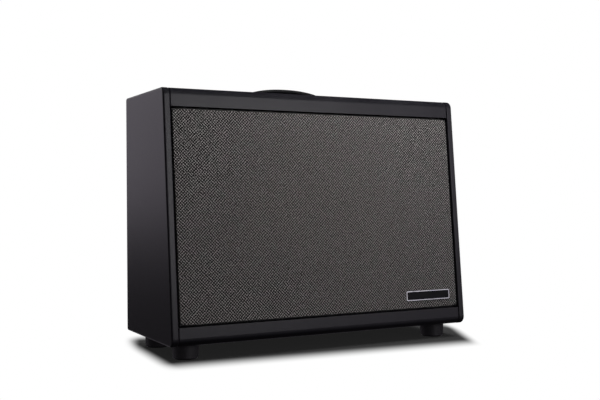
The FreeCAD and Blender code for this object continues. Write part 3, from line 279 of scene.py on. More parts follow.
class Wiring:
    """A tree of shader nodes, and the ways to add to it."""

    def __init__(self, tree):
        self.tree = tree

    def link(self, socket, value):
        if isinstance(value, Value):
            self.tree.links.new(value.socket, socket)
        elif isinstance(value, tuple) and len(value) == 3 and socket.type == "RGBA":
            socket.default_value = (*value, 1)
        else:
            socket.default_value = value

    def node(self, kind, settings=None, inputs=None, output=0):
        """Adds a node: settings first, among them a ramp's stops, then sockets, by name or number."""
        made = self.tree.nodes.new("ShaderNode" + kind)
        for name, value in (settings or {}).items():
            if name == "stops":
                stops = made.color_ramp.elements
                while len(stops) < len(value):
                    stops.new(1)
                for stop, (place, colour) in zip(stops, value):
                    stop.position = place
                    stop.color = (*colour, 1)
            else:
                setattr(made, name, value)
        for name, value in (inputs or {}).items():
            self.link(made.inputs[name], value)
        return Value(self, made.outputs[output])

    def place(self, centre=(0, 0, 0), stretch=(1, 1, 1), source="Object"):
        """Coordinates of the piece, moved so that centre is zero, then stretched."""
        where = self.node("TexCoord", output=source)
        shift = tuple(-c * s for c, s in zip(centre, stretch))
        return self.node("Mapping", inputs={"Vector": where, "Location": shift, "Scale": stretch})

    def parts(self, vector):
        """The three numbers of a vector."""
        split = self.node("SeparateXYZ", inputs={0: vector}).socket.node
        return [Value(self, output) for output in split.outputs]

    def noise(self, where, scale, detail=3.0, rough=0.5):
        """Cloudy noise from 0 to 1, with so many clouds to a metre."""
        return self.node("TexNoise", inputs={"Vector": where, "Scale": scale, "Detail": detail,
                                             "Roughness": rough})

    def cells(self, where, scale):
        """Softened distance to the nearest of scattered points, for grains and pebbles."""
        return self.node("TexVoronoi", {"feature": "SMOOTH_F1"}, {"Vector": where, "Scale": scale})

    def ramp(self, value, *stops):
        """Colours along a value from 0 to 1."""
        return self.node("ValToRGB", {"stops": stops}, {"Fac": value})

    def spread(self, value, low, high, start=0.3, end=0.7):
        """A noise value opened out so that its usual range, start to end, fills low to high."""
        inputs = {"Value": value, "From Min": start, "From Max": end, "To Min": low, "To Max": high}
        return self.node("MapRange", {"clamp": True}, inputs)

    def step(self, value, start, end):
        """Smooth step of a value, from 0 at start to 1 at end."""
        return self.node("MapRange", {"interpolation_type": "SMOOTHSTEP"},
                         {"Value": value, "From Min": start, "From Max": end})

    def mix(self, share, first, second, blend="MIX"):
        """One colour into another."""
        made = self.node("Mix", {"data_type": "RGBA", "blend_type": blend}).socket.node
        for socket, value in ((made.inputs[0], share), (made.inputs[6], first), (made.inputs[7], second)):
            self.link(socket, value)
        return Value(self, made.outputs[2])

    def bump(self, height, depth, strength):
        """Relief of so many metres, for the Normal socket."""
        return self.node("Bump", inputs={"Height": height, "Distance": depth, "Strength": strength})

    def light_paths(self):
        """1 or 0 for each kind of ray: from the camera, from a mirror, through glass."""
        path = self.node("LightPath").socket.node
        kinds = ("Camera", "Glossy", "Transmission")
        return [Value(self, path.outputs[f"Is {kind} Ray"]) for kind in kinds]


class Finish(Wiring):
    """A material, its Principled shader and the nodes that feed it."""

    def __init__(self, name, **constants):
        self.material = bpy.data.materials.new(name)
        self.material.use_nodes = True
        super().__init__(self.material.node_tree)
        self.shader = self.tree.nodes["Principled BSDF"]
        self.set(**constants)

    def set(self, **sockets):
        """Puts numbers, colours or links on the shader's sockets; an underscore stands for a space."""
        for name, value in sockets.items():
            self.link(self.shader.inputs[name.replace("_", " ")], value)


finishes = {}
print("shader helpers ready")

# %% [markdown]
# The box is plywood under black vinyl. The vinyl has a fine pebbled grain and a soft sheen, and it is never
# quite one colour: wide clouds of slightly lighter and darker black run over it. Grain this fine is relief
# in the shader, because modelling it would take millions of faces.

# %% Vinyl and painted board
def vinyl():
    """Near-black colour in slow clouds, pebble grain from scattered cells, roughness with the grain."""
    finish = Finish("vinyl", Specular_IOR_Level=0.36)
    where = finish.place()
    clouds = finish.noise(where, 9)
    grain = finish.cells(where, 1300)
    fine = finish.noise(where, 2600, 2)
    finish.set(
        Base_Color=finish.ramp(clouds, (0.3, (0.0062, 0.0059, 0.0076)), (0.7, (0.0098, 0.0092, 0.0116))),
        Roughness=finish.spread(finish.noise(where, 340), 0.30, 0.38),
        Normal=finish.bump(grain * 0.7 + fine * 0.3, 0.00008, 0.6),
    )
    return finish.material


def matte_black_board():
    """Brushed matte paint on plywood: long faint streaks along the board."""
    finish = Finish("matte_black_board", Specular_IOR_Level=0.3)
    where = finish.place(stretch=(1, 6, 6))
    streaks = finish.noise(where, 40, 6, 0.6)
    finish.set(
        Base_Color=finish.ramp(streaks, (0.3, (0.014, 0.014, 0.014)), (0.7, (0.026, 0.026, 0.026))),
        Roughness=finish.spread(streaks, 0.62, 0.8),
        Normal=finish.bump(streaks, 0.0002, 0.6),
    )
    return finish.material


def planed_softwood():
    """Growth rings cut lengthwise: bands across the batten, bent by slow noise, with fine fibres."""
    finish = Finish("planed_softwood", Specular_IOR_Level=0.25)
    x, y, _ = finish.parts(finish.place())
    warp = finish.noise(finish.place(stretch=(3, 20, 3)), 4)
    rings = ((y * 260 + x * 30 + warp * 9).math("SINE") + 1) * 0.5
    fibres = finish.noise(finish.place(stretch=(1, 12, 12)), 60, 5, 0.6)
    tone = rings * 0.6 + fibres * 0.4
    finish.set(
        Base_Color=finish.ramp(tone, (0.15, (0.50, 0.32, 0.16)), (0.85, (0.66, 0.48, 0.28))),
        Roughness=finish.spread(fibres, 0.55, 0.75),
        Normal=finish.bump(tone, 0.00015, 0.5),
    )
    return finish.material


finishes["covered_board"] = vinyl()
finishes["black_board"] = matte_black_board()
finishes["bare_wood"] = planed_softwood()
print("board finishes:", sorted(finishes))

# %% [markdown]
# The grille cloth is the largest thing in view. Its threads make a pepper-and-salt pattern: light crossings
# and dark holes in a checker, which here and there reads as slanting lines. Two waves do that. One runs up
# to the right and one up to the left; added in equal shares they make a checker, and where slow noise
# favours one of them they make slanting lines. The pattern lives in the cloth's own UV map, in metres, so
# it follows the cloth round the frame. Where the cloth folds over the frame it is painted nearly black, as
# painted shade for the narrow gap round the cloth; the mesh marks that part with a number of its own.

# %% Woven grille cloth
thread_repeat = 0.0064


def woven_cloth(wander=4.5, contrast=0.72, flecks=1.9, level=0.42):
    """Brightness from two slanting waves sin(u+v) and sin(u-v), mixed by noise; mottled taupe colours. Slow
    noise makes the threads wander, and fine noise adds flecks. The part folded over the frame is painted
    nearly black, as painted shade."""
    finish = Finish("woven_cloth", Specular_IOR_Level=0.12, Sheen_Weight=0.15, Sheen_Roughness=0.5)
    where = finish.place(source="UV")
    u, v, _ = finish.parts(where)
    turn = 2 * math.pi / thread_repeat
    sway = finish.noise(where, 90, 3) * wander
    rise = (u * turn + v * turn + sway).math("SINE")
    fall = (u * turn - v * turn + sway).math("SINE")
    lean = finish.spread(finish.noise(where, 85, 2), 0.18, 0.82)
    weave = rise * lean + fall * (1 - lean)
    speckle = finish.noise(where, 420, 2)
    light = weave * contrast + (speckle - 0.5) * flecks + level
    tone = finish.ramp(light, (0.05, (0.003, 0.003, 0.003)), (0.45, (0.037, 0.0350, 0.0340)),
                       (0.95, (0.24, 0.228, 0.224)))
    mottle = finish.ramp(finish.noise(where, 38, 4, 0.6), (0.3, (0.95, 1.0, 0.97)),
                         (0.5, (1.0, 0.98, 0.97)), (0.7, (1.05, 0.98, 1.01)))
    # Painted shade: the part folded over the frame is painted nearly black, for the shade in the gap round the
    # cloth
    fold = finish.node("Attribute", {"attribute_name": "fold"}, output="Fac")
    threads = finish.mix(1.0, tone, mottle, "MULTIPLY")
    finish.set(
        Base_Color=finish.mix(fold, threads, (0.004, 0.004, 0.004)),
        Roughness=finish.spread(speckle, 0.7, 0.9),
        Normal=finish.bump(weave, 0.0006, 0.5),
    )
    return finish.material


finishes["grille_cloth"] = woven_cloth()
print("weave repeats every", thread_repeat * 1000, "mm")

# %% [markdown]
# Small parts share a few kinds of surface: moulded plastic and rubber, painted or plated steel, fibre and
# paper. One function makes each kind, and the table after them gives every part its own colour, gloss and
# size of grain.

# %% Plastic, metal and fibre
def moulded(name, colour, rough, grain=900, relief=0.00004, lift=1.5, specular=0.4):
    """Moulded plastic or rubber: an even colour with a little bloom, and a fine spark-eroded grain."""
    finish = Finish(name, Specular_IOR_Level=specular)
    where = finish.place()
    bloom = finish.noise(where, 55, 4)
    skin = finish.noise(where, grain, 3)
    paler = tuple(c * lift for c in colour)
    finish.set(
        Base_Color=finish.ramp(bloom, (0.35, colour), (0.7, paler)),
        Roughness=finish.spread(skin, rough - 0.07, rough + 0.07),
        Normal=finish.bump(skin, relief, 0.7),
    )
    return finish.material


def painted_steel(name, colour, rough, pimples=1500, relief=0.00007):
    """Powder coat: an orange-peel of small rounded cells."""
    finish = Finish(name, Specular_IOR_Level=0.4)
    where = finish.place()
    peel = finish.cells(where, pimples)
    dust = finish.noise(where, 35, 5, 0.6)
    finish.set(
        Base_Color=finish.ramp(dust, (0.35, colour), (0.7, tuple(c * 1.4 for c in colour))),
        Roughness=finish.spread(finish.noise(where, 500), rough - 0.06, rough + 0.08),
        Normal=finish.bump(peel, relief, 0.6),
    )
    return finish.material


def brushed_metal(name, colour, rough, stretch, stain=0.75):
    """Rolled or brushed metal: noise drawn out along the brushing, with faint stains."""
    finish = Finish(name, Metallic=1.0)
    lines = finish.noise(finish.place(stretch=stretch), 90, 4, 0.6)
    stains = finish.noise(finish.place(), 30, 4)
    finish.set(
        Base_Color=finish.ramp(stains, (0.3, tuple(c * stain for c in colour)), (0.7, colour)),
        Roughness=finish.spread(lines, rough - 0.08, rough + 0.1),
        Normal=finish.bump(lines, 0.00003, 0.4),
    )
    return finish.material


def fibre(name, dark, pale, scale, relief, rough=0.85):
    """Felted or pressed fibre: short hairs from drawn-out noise in two directions."""
    finish = Finish(name, Specular_IOR_Level=0.2)
    one = finish.noise(finish.place(stretch=(1, 1, 6)), scale, 5, 0.7)
    two = finish.noise(finish.place(stretch=(6, 1, 1)), scale, 5, 0.7)
    hairs = one * 0.5 + two * 0.5
    finish.set(
        Base_Color=finish.ramp(hairs, (0.35, dark), (0.65, pale)),
        Roughness=finish.spread(hairs, rough - 0.1, rough + 0.1),
        Normal=finish.bump(hairs, relief, 0.8),
    )
    return finish.material


finishes |= {
    "strap_rubber": moulded("strap_rubber", (0.005, 0.005, 0.0054), 0.5, 1100, 0.00005, 1.4, 0.2),
    "cap_plastic": moulded("cap_plastic", (0.009, 0.009, 0.0095), 0.42),
    "foot_rubber": moulded("foot_rubber", (0.0085, 0.0085, 0.0095), 0.42, 700, 0.00005, 1.5, 0.6),
    "horn_plastic": moulded("horn_plastic", (0.011, 0.011, 0.012), 0.38),
    "jack_plastic": moulded("jack_plastic", (0.009, 0.009, 0.009), 0.3),
    "knob_plastic": moulded("knob_plastic", (0.010, 0.010, 0.0105), 0.35),
    "button_plastic": moulded("button_plastic", (0.05, 0.05, 0.053), 0.45),
    "inlet_plastic": moulded("inlet_plastic", (0.01, 0.01, 0.01), 0.5),
    "rocker_plastic": moulded("rocker_plastic", (0.009, 0.009, 0.009), 0.28),
    "badge_field": moulded("badge_field", (0.0035, 0.0035, 0.004), 0.42, 400, 0.00001, 1.4, 0.12),
    "coil_former": moulded("coil_former", (0.42, 0.17, 0.05), 0.4),
    "circuit_board": moulded("circuit_board", (0.012, 0.09, 0.035), 0.4, 500, 0.00008),
    "driver_steel": painted_steel("driver_steel", (0.012, 0.012, 0.012), 0.42),
    "tweeter_case": painted_steel("tweeter_case", (0.03, 0.03, 0.032), 0.5),
    "panel_paint": painted_steel("panel_paint", (0.032, 0.033, 0.036), 0.5, 2200),
    "magnet_ferrite": painted_steel("magnet_ferrite", (0.035, 0.035, 0.038), 0.6, 700, 0.0001),
    "plated_steel": brushed_metal("plated_steel", (0.62, 0.63, 0.65), 0.32, (1, 1, 9)),
    "chassis_steel": brushed_metal("chassis_steel", (0.64, 0.65, 0.66), 0.38, (1, 9, 9)),
    "black_screw": brushed_metal("black_screw", (0.05, 0.05, 0.052), 0.4, (1, 1, 1)),
    "badge_rim": brushed_metal("badge_rim", (0.86, 0.87, 0.89), 0.3, (1, 14, 14), 0.9),
    "loop_pad": fibre("loop_pad", (0.006, 0.006, 0.006), (0.02, 0.02, 0.02), 900, 0.0004),
    "gasket_cork": fibre("gasket_cork", (0.012, 0.011, 0.010), (0.03, 0.028, 0.026), 500, 0.0003),
    "surround_cloth": fibre("surround_cloth", (0.008, 0.008, 0.0075), (0.02, 0.019, 0.018), 1600, 0.0002,
                            0.6),
    "spider_cloth": fibre("spider_cloth", (0.30, 0.15, 0.04), (0.46, 0.26, 0.09), 1600, 0.0002, 0.7),
}
print("finishes so far:", len(finishes))

# %% [markdown]
# Each cone is pressed paper with shallow rings round it. The rings need to know where the driver's axis is,
# so each cone has a finish of its own, centred on its own driver: the distance from that axis, put through
# a sine, raises the rings.

# %% Paper cones
def ribbed_paper(name, centre, ring_pitch=0.011):
    """Pulp fibres, and rings from a sine of the distance to the driver's axis."""
    finish = Finish(name, Specular_IOR_Level=0.2)
    where = finish.place(centre)
    x, y, z = finish.parts(where)
    height = z * float(upward[2]) + y * float(upward[1])
    radius = (x * x + height * height).math("SQRT")
    rings = (radius * (2 * math.pi / ring_pitch)).math("SINE")
    pulp = finish.noise(where, 380, 6, 0.7)
    finish.set(
        Base_Color=finish.ramp(pulp, (0.35, (0.016, 0.0155, 0.015)), (0.7, (0.034, 0.033, 0.032))),
        Roughness=finish.spread(pulp, 0.7, 0.92),
        Normal=finish.bump(rings * 0.6 + pulp * 0.4, 0.0005, 0.7),
    )
    return finish.material


def cone_middle(side):
    """The middle of a cone's box, which lies on the driver's axis."""
    points = vertices(nodes[f"{side}_cone"].data)
    return (points.min(0) + points.max(0)) / 2


driver_sides = ("left", "right")
cone_centre = {side: cone_middle(side) for side in driver_sides}
cone_paper = {side: ribbed_paper(f"{side}_cone_paper", tuple(centre))
              for side, centre in cone_centre.items()}
print("cones at x =", {side: round(float(c[0]), 3) for side, c in cone_centre.items()})

# %% [markdown]
# The display is a dark window that glows faintly from behind. A few plain level bars stand in for what it
# shows: columns of short segments, cut from the window's own coordinates with comparisons and products. The
# first and the last column stay dark.

# %% Display window
display_columns = 9
display_rows = 16


def box_of(node):
    """Lowest and highest corner of a node on the frame's own axes."""
    return [np.array(corner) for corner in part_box(node)]


def level_display(node):
    """Glossy dark glass. A bar's segments are lit inside their column and row, from a common foot up to a
    level that follows a sine of the column's number."""
    low, high = box_of(node)
    finish = Finish("level_display", Specular_IOR_Level=0.5, Emission_Strength=0.8)
    where = finish.place(tuple(low), tuple(1 / (high - low)))
    x, _, z = finish.parts(where)
    column = (x * display_columns).math("FLOOR")
    inside = (x * display_columns).math("FRACT").math("COMPARE", 0.5, 0.3)
    segment = (z * display_rows).math("FRACT").math("COMPARE", 0.5, 0.32)
    level = (column * 1.7).math("SINE") * 0.2 + 0.55
    lit = z.math("LESS_THAN", level) * z.math("GREATER_THAN", 0.2)
    bars = x.math("COMPARE", 0.5, 0.4) * inside * segment * lit
    smear = finish.noise(finish.place(), 60, 4)
    finish.set(
        Base_Color=finish.ramp(smear, (0.3, (0.006, 0.007, 0.009)), (0.7, (0.010, 0.012, 0.015))),
        Roughness=finish.spread(smear, 0.06, 0.16),
        Emission_Color=finish.mix(bars, (0.0, 0.0, 0.0), (0.25, 0.55, 0.8)),
    )
    return finish.material


finishes["display_glass"] = level_display("display_window")
print("display has", display_columns - 2, "bars")

# %% [markdown]
# Every CAD node carries the name of its finish from the record. One loop puts the matching material on each
# of them; only the cones take their own.

# %% Finishes on the CAD nodes
slot_of = {part["node"]: part["material_slot"] for part in frame["record"]["subparts"]}
for node, piece in nodes.items():
    piece.data.materials.clear()
    piece.data.materials.append(finishes.get(slot_of[node]))
for side, paper in cone_paper.items():
    nodes[f"{side}_cone"].data.materials[0] = paper
print("dressed", len(nodes), "nodes")

# %% [markdown]
# The cloth is one sheet, pulled tight over the frame and stapled behind, so all that shows is a flat face
# with a soft edge. It is built from rings like the rings of a tree: each ring is a rounded rectangle, the
# rings grow from the middle to the edge, and the last ones roll over the edge and run back along the frame's
# sides. The UV map is the place on the flat cloth, in metres. Solidify then gives the sheet its thickness.

# %% Grille cloth
cloth_low, cloth_high = slope_box("grille_cloth")
cloth_middle = (cloth_low + cloth_high) / 2
cloth_half = (cloth_high - cloth_low) / 2
cloth_return = cloth_high[1] - cloth_low[1]
cloth_thickness = 0.0008
edge_slack = 0.0005
fold_start = 0.00001


def stretched_sheet(sides=240, rings=40, bends=6, corner=0.002, roll=0.002):
    """Rounded rectangles of growing size, then a quarter circle over the edge and a straight return. A
    rounded rectangle is a rectangle of half sizes a, b, plus the corner radius along the normal."""
    turn = np.linspace(0, 2 * math.pi, sides, endpoint=False) + math.pi / sides
    a, b = cloth_half[0] - corner, cloth_half[2] - corner
    stretch = 1 / np.maximum(np.abs(np.cos(turn)) / a, np.abs(np.sin(turn)) / b)
    line = np.stack([stretch * np.cos(turn), stretch * np.sin(turn)], -1)
    normal = np.sign(line) * np.isclose(np.abs(line), [a, b])
    grow = np.linspace(0, 1, rings)
    bend = np.linspace(0, math.pi / 2, bends + 1)[1:]
    reach = corner - roll + np.concatenate([np.zeros(rings), roll * np.sin(bend), [roll]])
    depth = np.concatenate([np.zeros(rings), roll * (1 - np.cos(bend)), [cloth_return]])
    scale = np.concatenate([grow, np.ones(len(bend) + 1)])
    spread = scale[:, None, None] * (line[None] + reach[:, None, None] * normal[None])
    points = np.empty((len(scale), sides, 3))
    points[..., 0] = cloth_middle[0] + spread[..., 0]
    points[..., 1] = cloth_low[1] + depth[:, None]
    points[..., 2] = cloth_middle[2] + spread[..., 1]
    return from_slope(points)


def unroll(piece):
    """UV map of the cloth in metres: across and up the slope, plus the way back along the frame's sides. The
    mark for painted shade is 1 on that way back and 0 in front."""
    mesh = piece.data
    points = vertices(mesh) @ slope_axes.T - cloth_middle
    at_edge = np.isclose(np.abs(points), cloth_half, atol=edge_slack)
    back = points[:, 1:2] + cloth_half[1]
    flat = points[:, [0, 2]] + np.sign(points[:, [0, 2]]) * at_edge[:, [0, 2]] * back
    corner = np.empty(len(mesh.loops), int)
    mesh.loops.foreach_get("vertex_index", corner)
    mesh.uv_layers.new(name="cloth").data.foreach_set("uv", flat[corner].ravel())
    # This mark tells the cloth's finish where to paint shade
    painted_shade_on_fold = (back[:, 0] > fold_start).astype(float)
    mesh.attributes.new("fold", "FLOAT", "POINT").data.foreach_set("value", painted_shade_on_fold)


cloth = add_piece("grille_cloth_sheet", stretched_sheet(), "grille", "grille_cloth", ["grille_cloth"],
                  closed=False)
unroll(cloth)
wall = cloth.modifiers.new("thickness", "SOLIDIFY")
wall.thickness = cloth_thickness
wall.offset = -1
cloth_flat = tuple(float(2 * half + 2 * cloth_return) for half in cloth_half[[0, 2]])
print("cloth cut to", [round(side, 4) for side in cloth_flat])

# %% [markdown]
# The handle is a moulded strap with two caps. Between the caps it bows up so that fingers fit under it, and
# its ends run flat into the caps, where they can slide a little. It is a profile carried along a path: the
# profile is a superellipse, nearly a rectangle with soft edges and two shallow grooves along its top, and
# the path is a line with eased corners.

# %% Handle strap
strap_low, strap_high = box_of("handle_strap")
strap_mouth = strap_high[0] - 0.025
strap_shoulder = strap_high[0] - 0.0325
tab_thickness = 0.006
strap_thickness = 0.008
strap_swell = 0.0022
bow_drop = 0.0085
bow_power = 2.3
bow_points = 25
bow_ease = 0.003
mouth_ease = 0.0035
end_round = 0.002
groove_depth, groove_place, groove_width = 0.10, 0.72, 0.06
wide_power, tall_power = 7, 3.2


def strap_surface(sides=40, steps=160):
    """Centre line: flat tab, slope, then z = crown - drop * |x / shoulder|^power over the middle. Each point
    of the profile is the centre plus its share across the strap and its share along the line's normal. A
    groove takes depth * exp(-(distance / width)^2) off the top, and each end closes with the square root of
    the distance from it."""
    crown = strap_high[2] + strap_swell - strap_thickness / 2
    level = strap_low[2] + tab_thickness / 2
    middle = np.linspace(-strap_shoulder, strap_shoulder, bow_points)
    bow = np.stack([middle, crown - bow_drop * np.abs(middle / strap_shoulder) ** bow_power], -1)
    left = [(strap_low[0], level), (-strap_mouth, level)]
    right = [(strap_mouth, level), (strap_high[0], level)]
    eases = [mouth_ease] + [bow_ease] * bow_points + [mouth_ease]
    line = eased(np.vstack([left, bow, right]), eases, 6)
    travel = np.concatenate([[0], np.cumsum(np.linalg.norm(np.diff(line, axis=0), axis=1))])
    even = np.linspace(0, travel[-1], steps)
    x, z = np.interp(even, travel, line[:, 0]), np.interp(even, travel, line[:, 1])
    slope = np.stack([np.gradient(x, even), np.gradient(z, even)], -1)
    slope /= np.linalg.norm(slope, axis=1, keepdims=True)
    on_tab = np.clip((np.abs(x) - strap_shoulder) / (strap_mouth - strap_shoulder), 0, 1)
    half = (strap_thickness + (tab_thickness - strap_thickness) * on_tab) / 2
    from_end = np.minimum(even, travel[-1] - even)
    close = np.clip(from_end / end_round, 0, 1) ** 0.5
    angle = np.linspace(0, 2 * math.pi, sides, endpoint=False)
    wide = np.sign(np.cos(angle)) * np.abs(np.cos(angle)) ** (2 / wide_power)
    tall = np.sign(np.sin(angle)) * np.abs(np.sin(angle)) ** (2 / tall_power)
    from_groove = (np.abs(wide) - groove_place) / groove_width
    groove = np.where(tall > 0, groove_depth * np.exp(-from_groove ** 2), 0)
    width = (strap_high[1] - strap_low[1]) / 2
    points = np.empty((steps, sides, 3))
    points[..., 1] = (strap_low[1] + strap_high[1]) / 2 + close[:, None] * width * wide
    offset = close[:, None] * half[:, None] * (tall - groove)
    points[..., 0] = x[:, None] - offset * slope[:, 1:]
    points[..., 2] = z[:, None] + offset * slope[:, :1]
    return points


add_piece("handle_strap_moulding", strap_surface(), "handle", "strap_rubber", ["handle_strap"])

# %% [markdown]
# A driver's surround is doped cloth in two rolls, and its spider is varnished cloth in five. Both are turned
# round the driver's axis from a wavy profile. The spider lies flat, so depth can't tell its edges apart, and
# it stays on the basket.

# %% Surrounds and spiders
def wavy_profile(inner, outer, lip, rolls, bow, thickness, steps=16):
    """Radius and depth of a corrugated ring: a straight line from the inner to the outer edge, plus
    bow * sin(pi * rolls * share) to the front, a flat lip, and the same line back, one thickness deeper."""
    share = np.linspace(0, 1, rolls * steps)
    line = np.asarray(inner) + share[:, None] * (np.asarray(outer) - np.asarray(inner))
    line[:, 1] -= bow * np.sin(math.pi * rolls * share)
    front = np.vstack([line, [(lip, outer[1])]])
    behind = front[::-1] + [0, thickness]
    return np.vstack([front, behind, front[:1]])


soft_wall = 0.0008
roll_height = 0.002
cone_lap = 0.0015
lip_width = 0.007
spider_radius = 0.076
spider_foot = 0.0022
coil_gap = 0.0003
for side in driver_sides:
    soft_low, soft_high = slope_box(f"{side}_surround")
    hub = [(soft_low[0] + soft_high[0]) / 2, 0, (soft_low[2] + soft_high[2]) / 2]
    lip = (soft_high[0] - soft_low[0]) / 2
    cone_low, cone_high = slope_box(f"{side}_cone")
    cone_edge = (cone_high[0] - cone_low[0]) / 2
    lip_depth = soft_low[1]
    edge_depth = cone_low[1]
    ring = wavy_profile((cone_edge - cone_lap, edge_depth), (lip - lip_width, lip_depth), lip, 2,
                        roll_height, soft_wall)
    surround = add_piece(f"{side}_surround_cloth", turned(ring, from_slope(hub), inward, 96), "cabinet",
                         "surround_cloth", [f"{side}_surround"])
    # It hangs on no body, and its place is baked into its points
    surround.parent = None
    from_slope([hub[0], lip_depth + soft_wall, hub[2]])
    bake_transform(surround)
    spring_low, spring_high = slope_box(f"{side}_spider")
    coil_low, coil_high = slope_box(f"{side}_voice_coil")
    ledge = spring_high[1] - spider_foot - soft_wall
    outer = (spring_high[0] - spring_low[0]) / 2
    inner = (coil_high[0] - coil_low[0]) / 2 + coil_gap
    ring = wavy_profile((inner, ledge), (spider_radius, ledge), outer, 5, roll_height, soft_wall, 12)
    add_piece(f"{side}_spider_cloth", turned(ring, from_slope(hub), inward, 72), "cabinet",
              "spider_cloth", [f"{side}_spider"])

# %% [markdown]
# The grille hangs on six hook-and-loop pads. They are soft slabs with rounded corners, one stack of copies
# of the same superellipse pad.

# %% Grille pads
pad_gaps = (0.06, 0.06, 0.03)
pad_seats, pad_low, pad_high = solid_boxes("grille_pads", pad_gaps, slope_axes)
pad_seats[:, 1] = pad_high[:, 1]
pad_width, pad_depth, pad_height = (pad_high - pad_low)[0]
pads = slab(from_slope(pad_seats), across, upward, pad_width / 2, pad_height / 2, pad_depth,
            power=9, edge=0.0012)
add_piece("grille_loop_pads", pads, "cabinet", "loop_pad", ["grille_pads"])
print("pads at", from_slope(pad_seats).round(3).tolist())

# %% [markdown]
# Screws hold the back, the amplifier, the handle and the feet. Seen close, a head is a low dome with a cross
# pressed into it. On a grid of rings and spokes the cross is a dent: it is deep where a point lies near one
# of the two arms and not too far out. The shank below the head is turned with it, so each screw is whole.

# %% Screws
head_rise = 0.003
gap_across, gap_along = 0.012, 0.05
dome_drop, dome_power = 0.55, 2.4
arm_half, arm_ramp = 0.2, 0.08
arm_end, end_ramp = 0.62, 0.12
cross_depth = 0.0017


def cross_screw(seats, axis, head, length, shank=0.0022, sides=48):
    """Profile of dome, rim, shank and tip. The dent is its depth times two straight ramps, kept from 0 to 1:
    one of the distance to the nearer arm's middle line, and one that ends the arm short of the rim."""
    axis = np.asarray(axis, float)
    first, second = ring_axes(axis)
    dome = np.linspace(0, 1, 18)
    top = np.stack([head * dome, head_rise * (1 - dome_drop * dome ** dome_power)], -1)
    rest = [(head, 0.0), (shank, 0.0), (shank, -length + shank), (0, -length)]
    radius, along = np.vstack([top, rest]).T
    angle = np.linspace(0, 2 * math.pi, sides, endpoint=False)
    right, up = radius[:, None] * np.cos(angle), radius[:, None] * np.sin(angle)
    nearer = np.minimum(np.abs(right), np.abs(up)) / head
    farther = np.maximum(np.abs(right), np.abs(up)) / head
    arm = np.clip((arm_half - nearer) / arm_ramp, 0, 1) * np.clip((arm_end - farther) / end_ramp, 0, 1)
    dent = cross_depth * arm * (np.arange(len(radius)) < len(dome))[:, None]
    one = right[..., None] * first + up[..., None] * second + (along[:, None] - dent)[..., None] * axis
    return np.asarray(seats)[:, None, None, :] + one[None]


for node, axis, slot in (("back_panel_screws", (0, 1, 0), "black_screw"),
                         ("panel_screws", (0, 1, 0), "black_screw"),
                         ("handle_screws", (0, 0, 1), "black_screw"),
                         ("foot_screws", (0, 0, -1), "plated_steel")):
    axis = np.array(axis, float)
    line = int(np.argmax(np.abs(axis)))
    seats, low, high = solid_boxes(node, np.where(axis == 0, gap_across, gap_along))
    seats[:, line] = (high if axis[line] > 0 else low)[:, line] - head_rise * axis[line]
    others = [0, 1] if line == 2 else [0, 2]
    head = float((high - low)[0, others].max()) / 2
    length = float((high - low)[0, line]) - head_rise
    screws = cross_screw(seats, axis, head, length)
    add_piece(f"{node}_crossed", screws, "cabinet", slot, [node], sharp=30)
    print(node, len(seats), "screws, head", round(2 * head, 4), "length", round(length, 4))

# %% [markdown]
# A knob's grip is fluted so that fingers hold it. It is turned like a lathe part, but the radius of the wall
# swells and shrinks with the cosine of the angle, and the swelling fades out on the smooth top. A pale line
# on the top shows where the knob points; it is a slab of its own that rides with the knob.

# %% Knobs and pointer lines
knob_height = 0.014
skirt_height, wall_start = 0.003, 0.0045
wall_share, top_share = 0.87, 0.8
knob_eases = [0.0004, 0.0004, 0.0006, 0.0006, 0.0012]
flute_depth, flute_start, flute_ramp = 0.04, 0.0035, 0.002
smooth_share, smooth_ramp = 0.6, 0.15
pointer_half, pointer_sink, pointer_thickness = 0.0006, 0.00005, 0.0002


def fluted_knob(centre, face, reach, radius, shaft_end, shaft=0.0028, flutes=18, sides=144):
    """Profile (radius, along) from the shaft's end over the skirt and the wall to the top. On the wall the
    radius is multiplied by 1 + depth * cos(flutes * angle)."""
    profile = eased([(shaft, shaft_end), (shaft, face), (radius, face), (radius, face + skirt_height),
                     (wall_share * radius, face + wall_start), (top_share * radius, reach), (0, reach)],
                    knob_eases, 6)
    profile = np.vstack([[(0, shaft_end)], profile])
    radii, along = profile.T
    above_skirt = np.clip((along - face - flute_start) / flute_ramp, 0, 1)
    on_wall = above_skirt * np.clip((radii / radius - smooth_share) / smooth_ramp, 0, 1)
    angle = np.linspace(0, 2 * math.pi, sides, endpoint=False)
    swell = 1 + flute_depth * on_wall[:, None] * np.cos(flutes * angle)
    return turned(profile, (centre[0], 0, centre[2]), (0, 1, 0), sides, swell)


for body in ("volume", "select"):
    low, high = box_of(f"{body}_knob")
    centre = (low + high) / 2
    radius = (high[0] - low[0]) / 2
    face = high[1] - knob_height
    grid = fluted_knob(centre, face, high[1], radius, low[1])
    add_piece(f"{body}_knob_fluted", grid, body, "knob_plastic", [f"{body}_knob"], sharp=50)
    spot = (centre[0], high[1] - pointer_sink, centre[2] + 0.45 * radius)
    line = slab([spot], (-1, 0, 0), (0, 0, 1), pointer_half, 0.32 * radius, pointer_thickness,
                power=6, edge=0.00008, sides=24)
    add_piece(f"{body}_pointer", line, body, "badge_rim")

# %% [markdown]
# The rear panel carries printed marks that any amplifier has: short strokes round the volume knob, and dots
# by the buttons and jacks. Print is thin, so each mark is a low slab that barely rises from the paint.
# Turning the stroke's own axes makes the dial.

# %% Printed marks
print_sink, print_thickness, print_edge = 0.00003, 0.00012, 0.00005
print_base = float(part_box("amp_panel")[1][1]) - print_sink
rearward = np.array([0.0, 1.0, 0.0])
dial_radius = 0.0155
stroke_count = 11
stroke_half = (0.00035, 0.0014)
dot_radius = 0.0011
dot_gap = 0.003
jack_half = 0.009

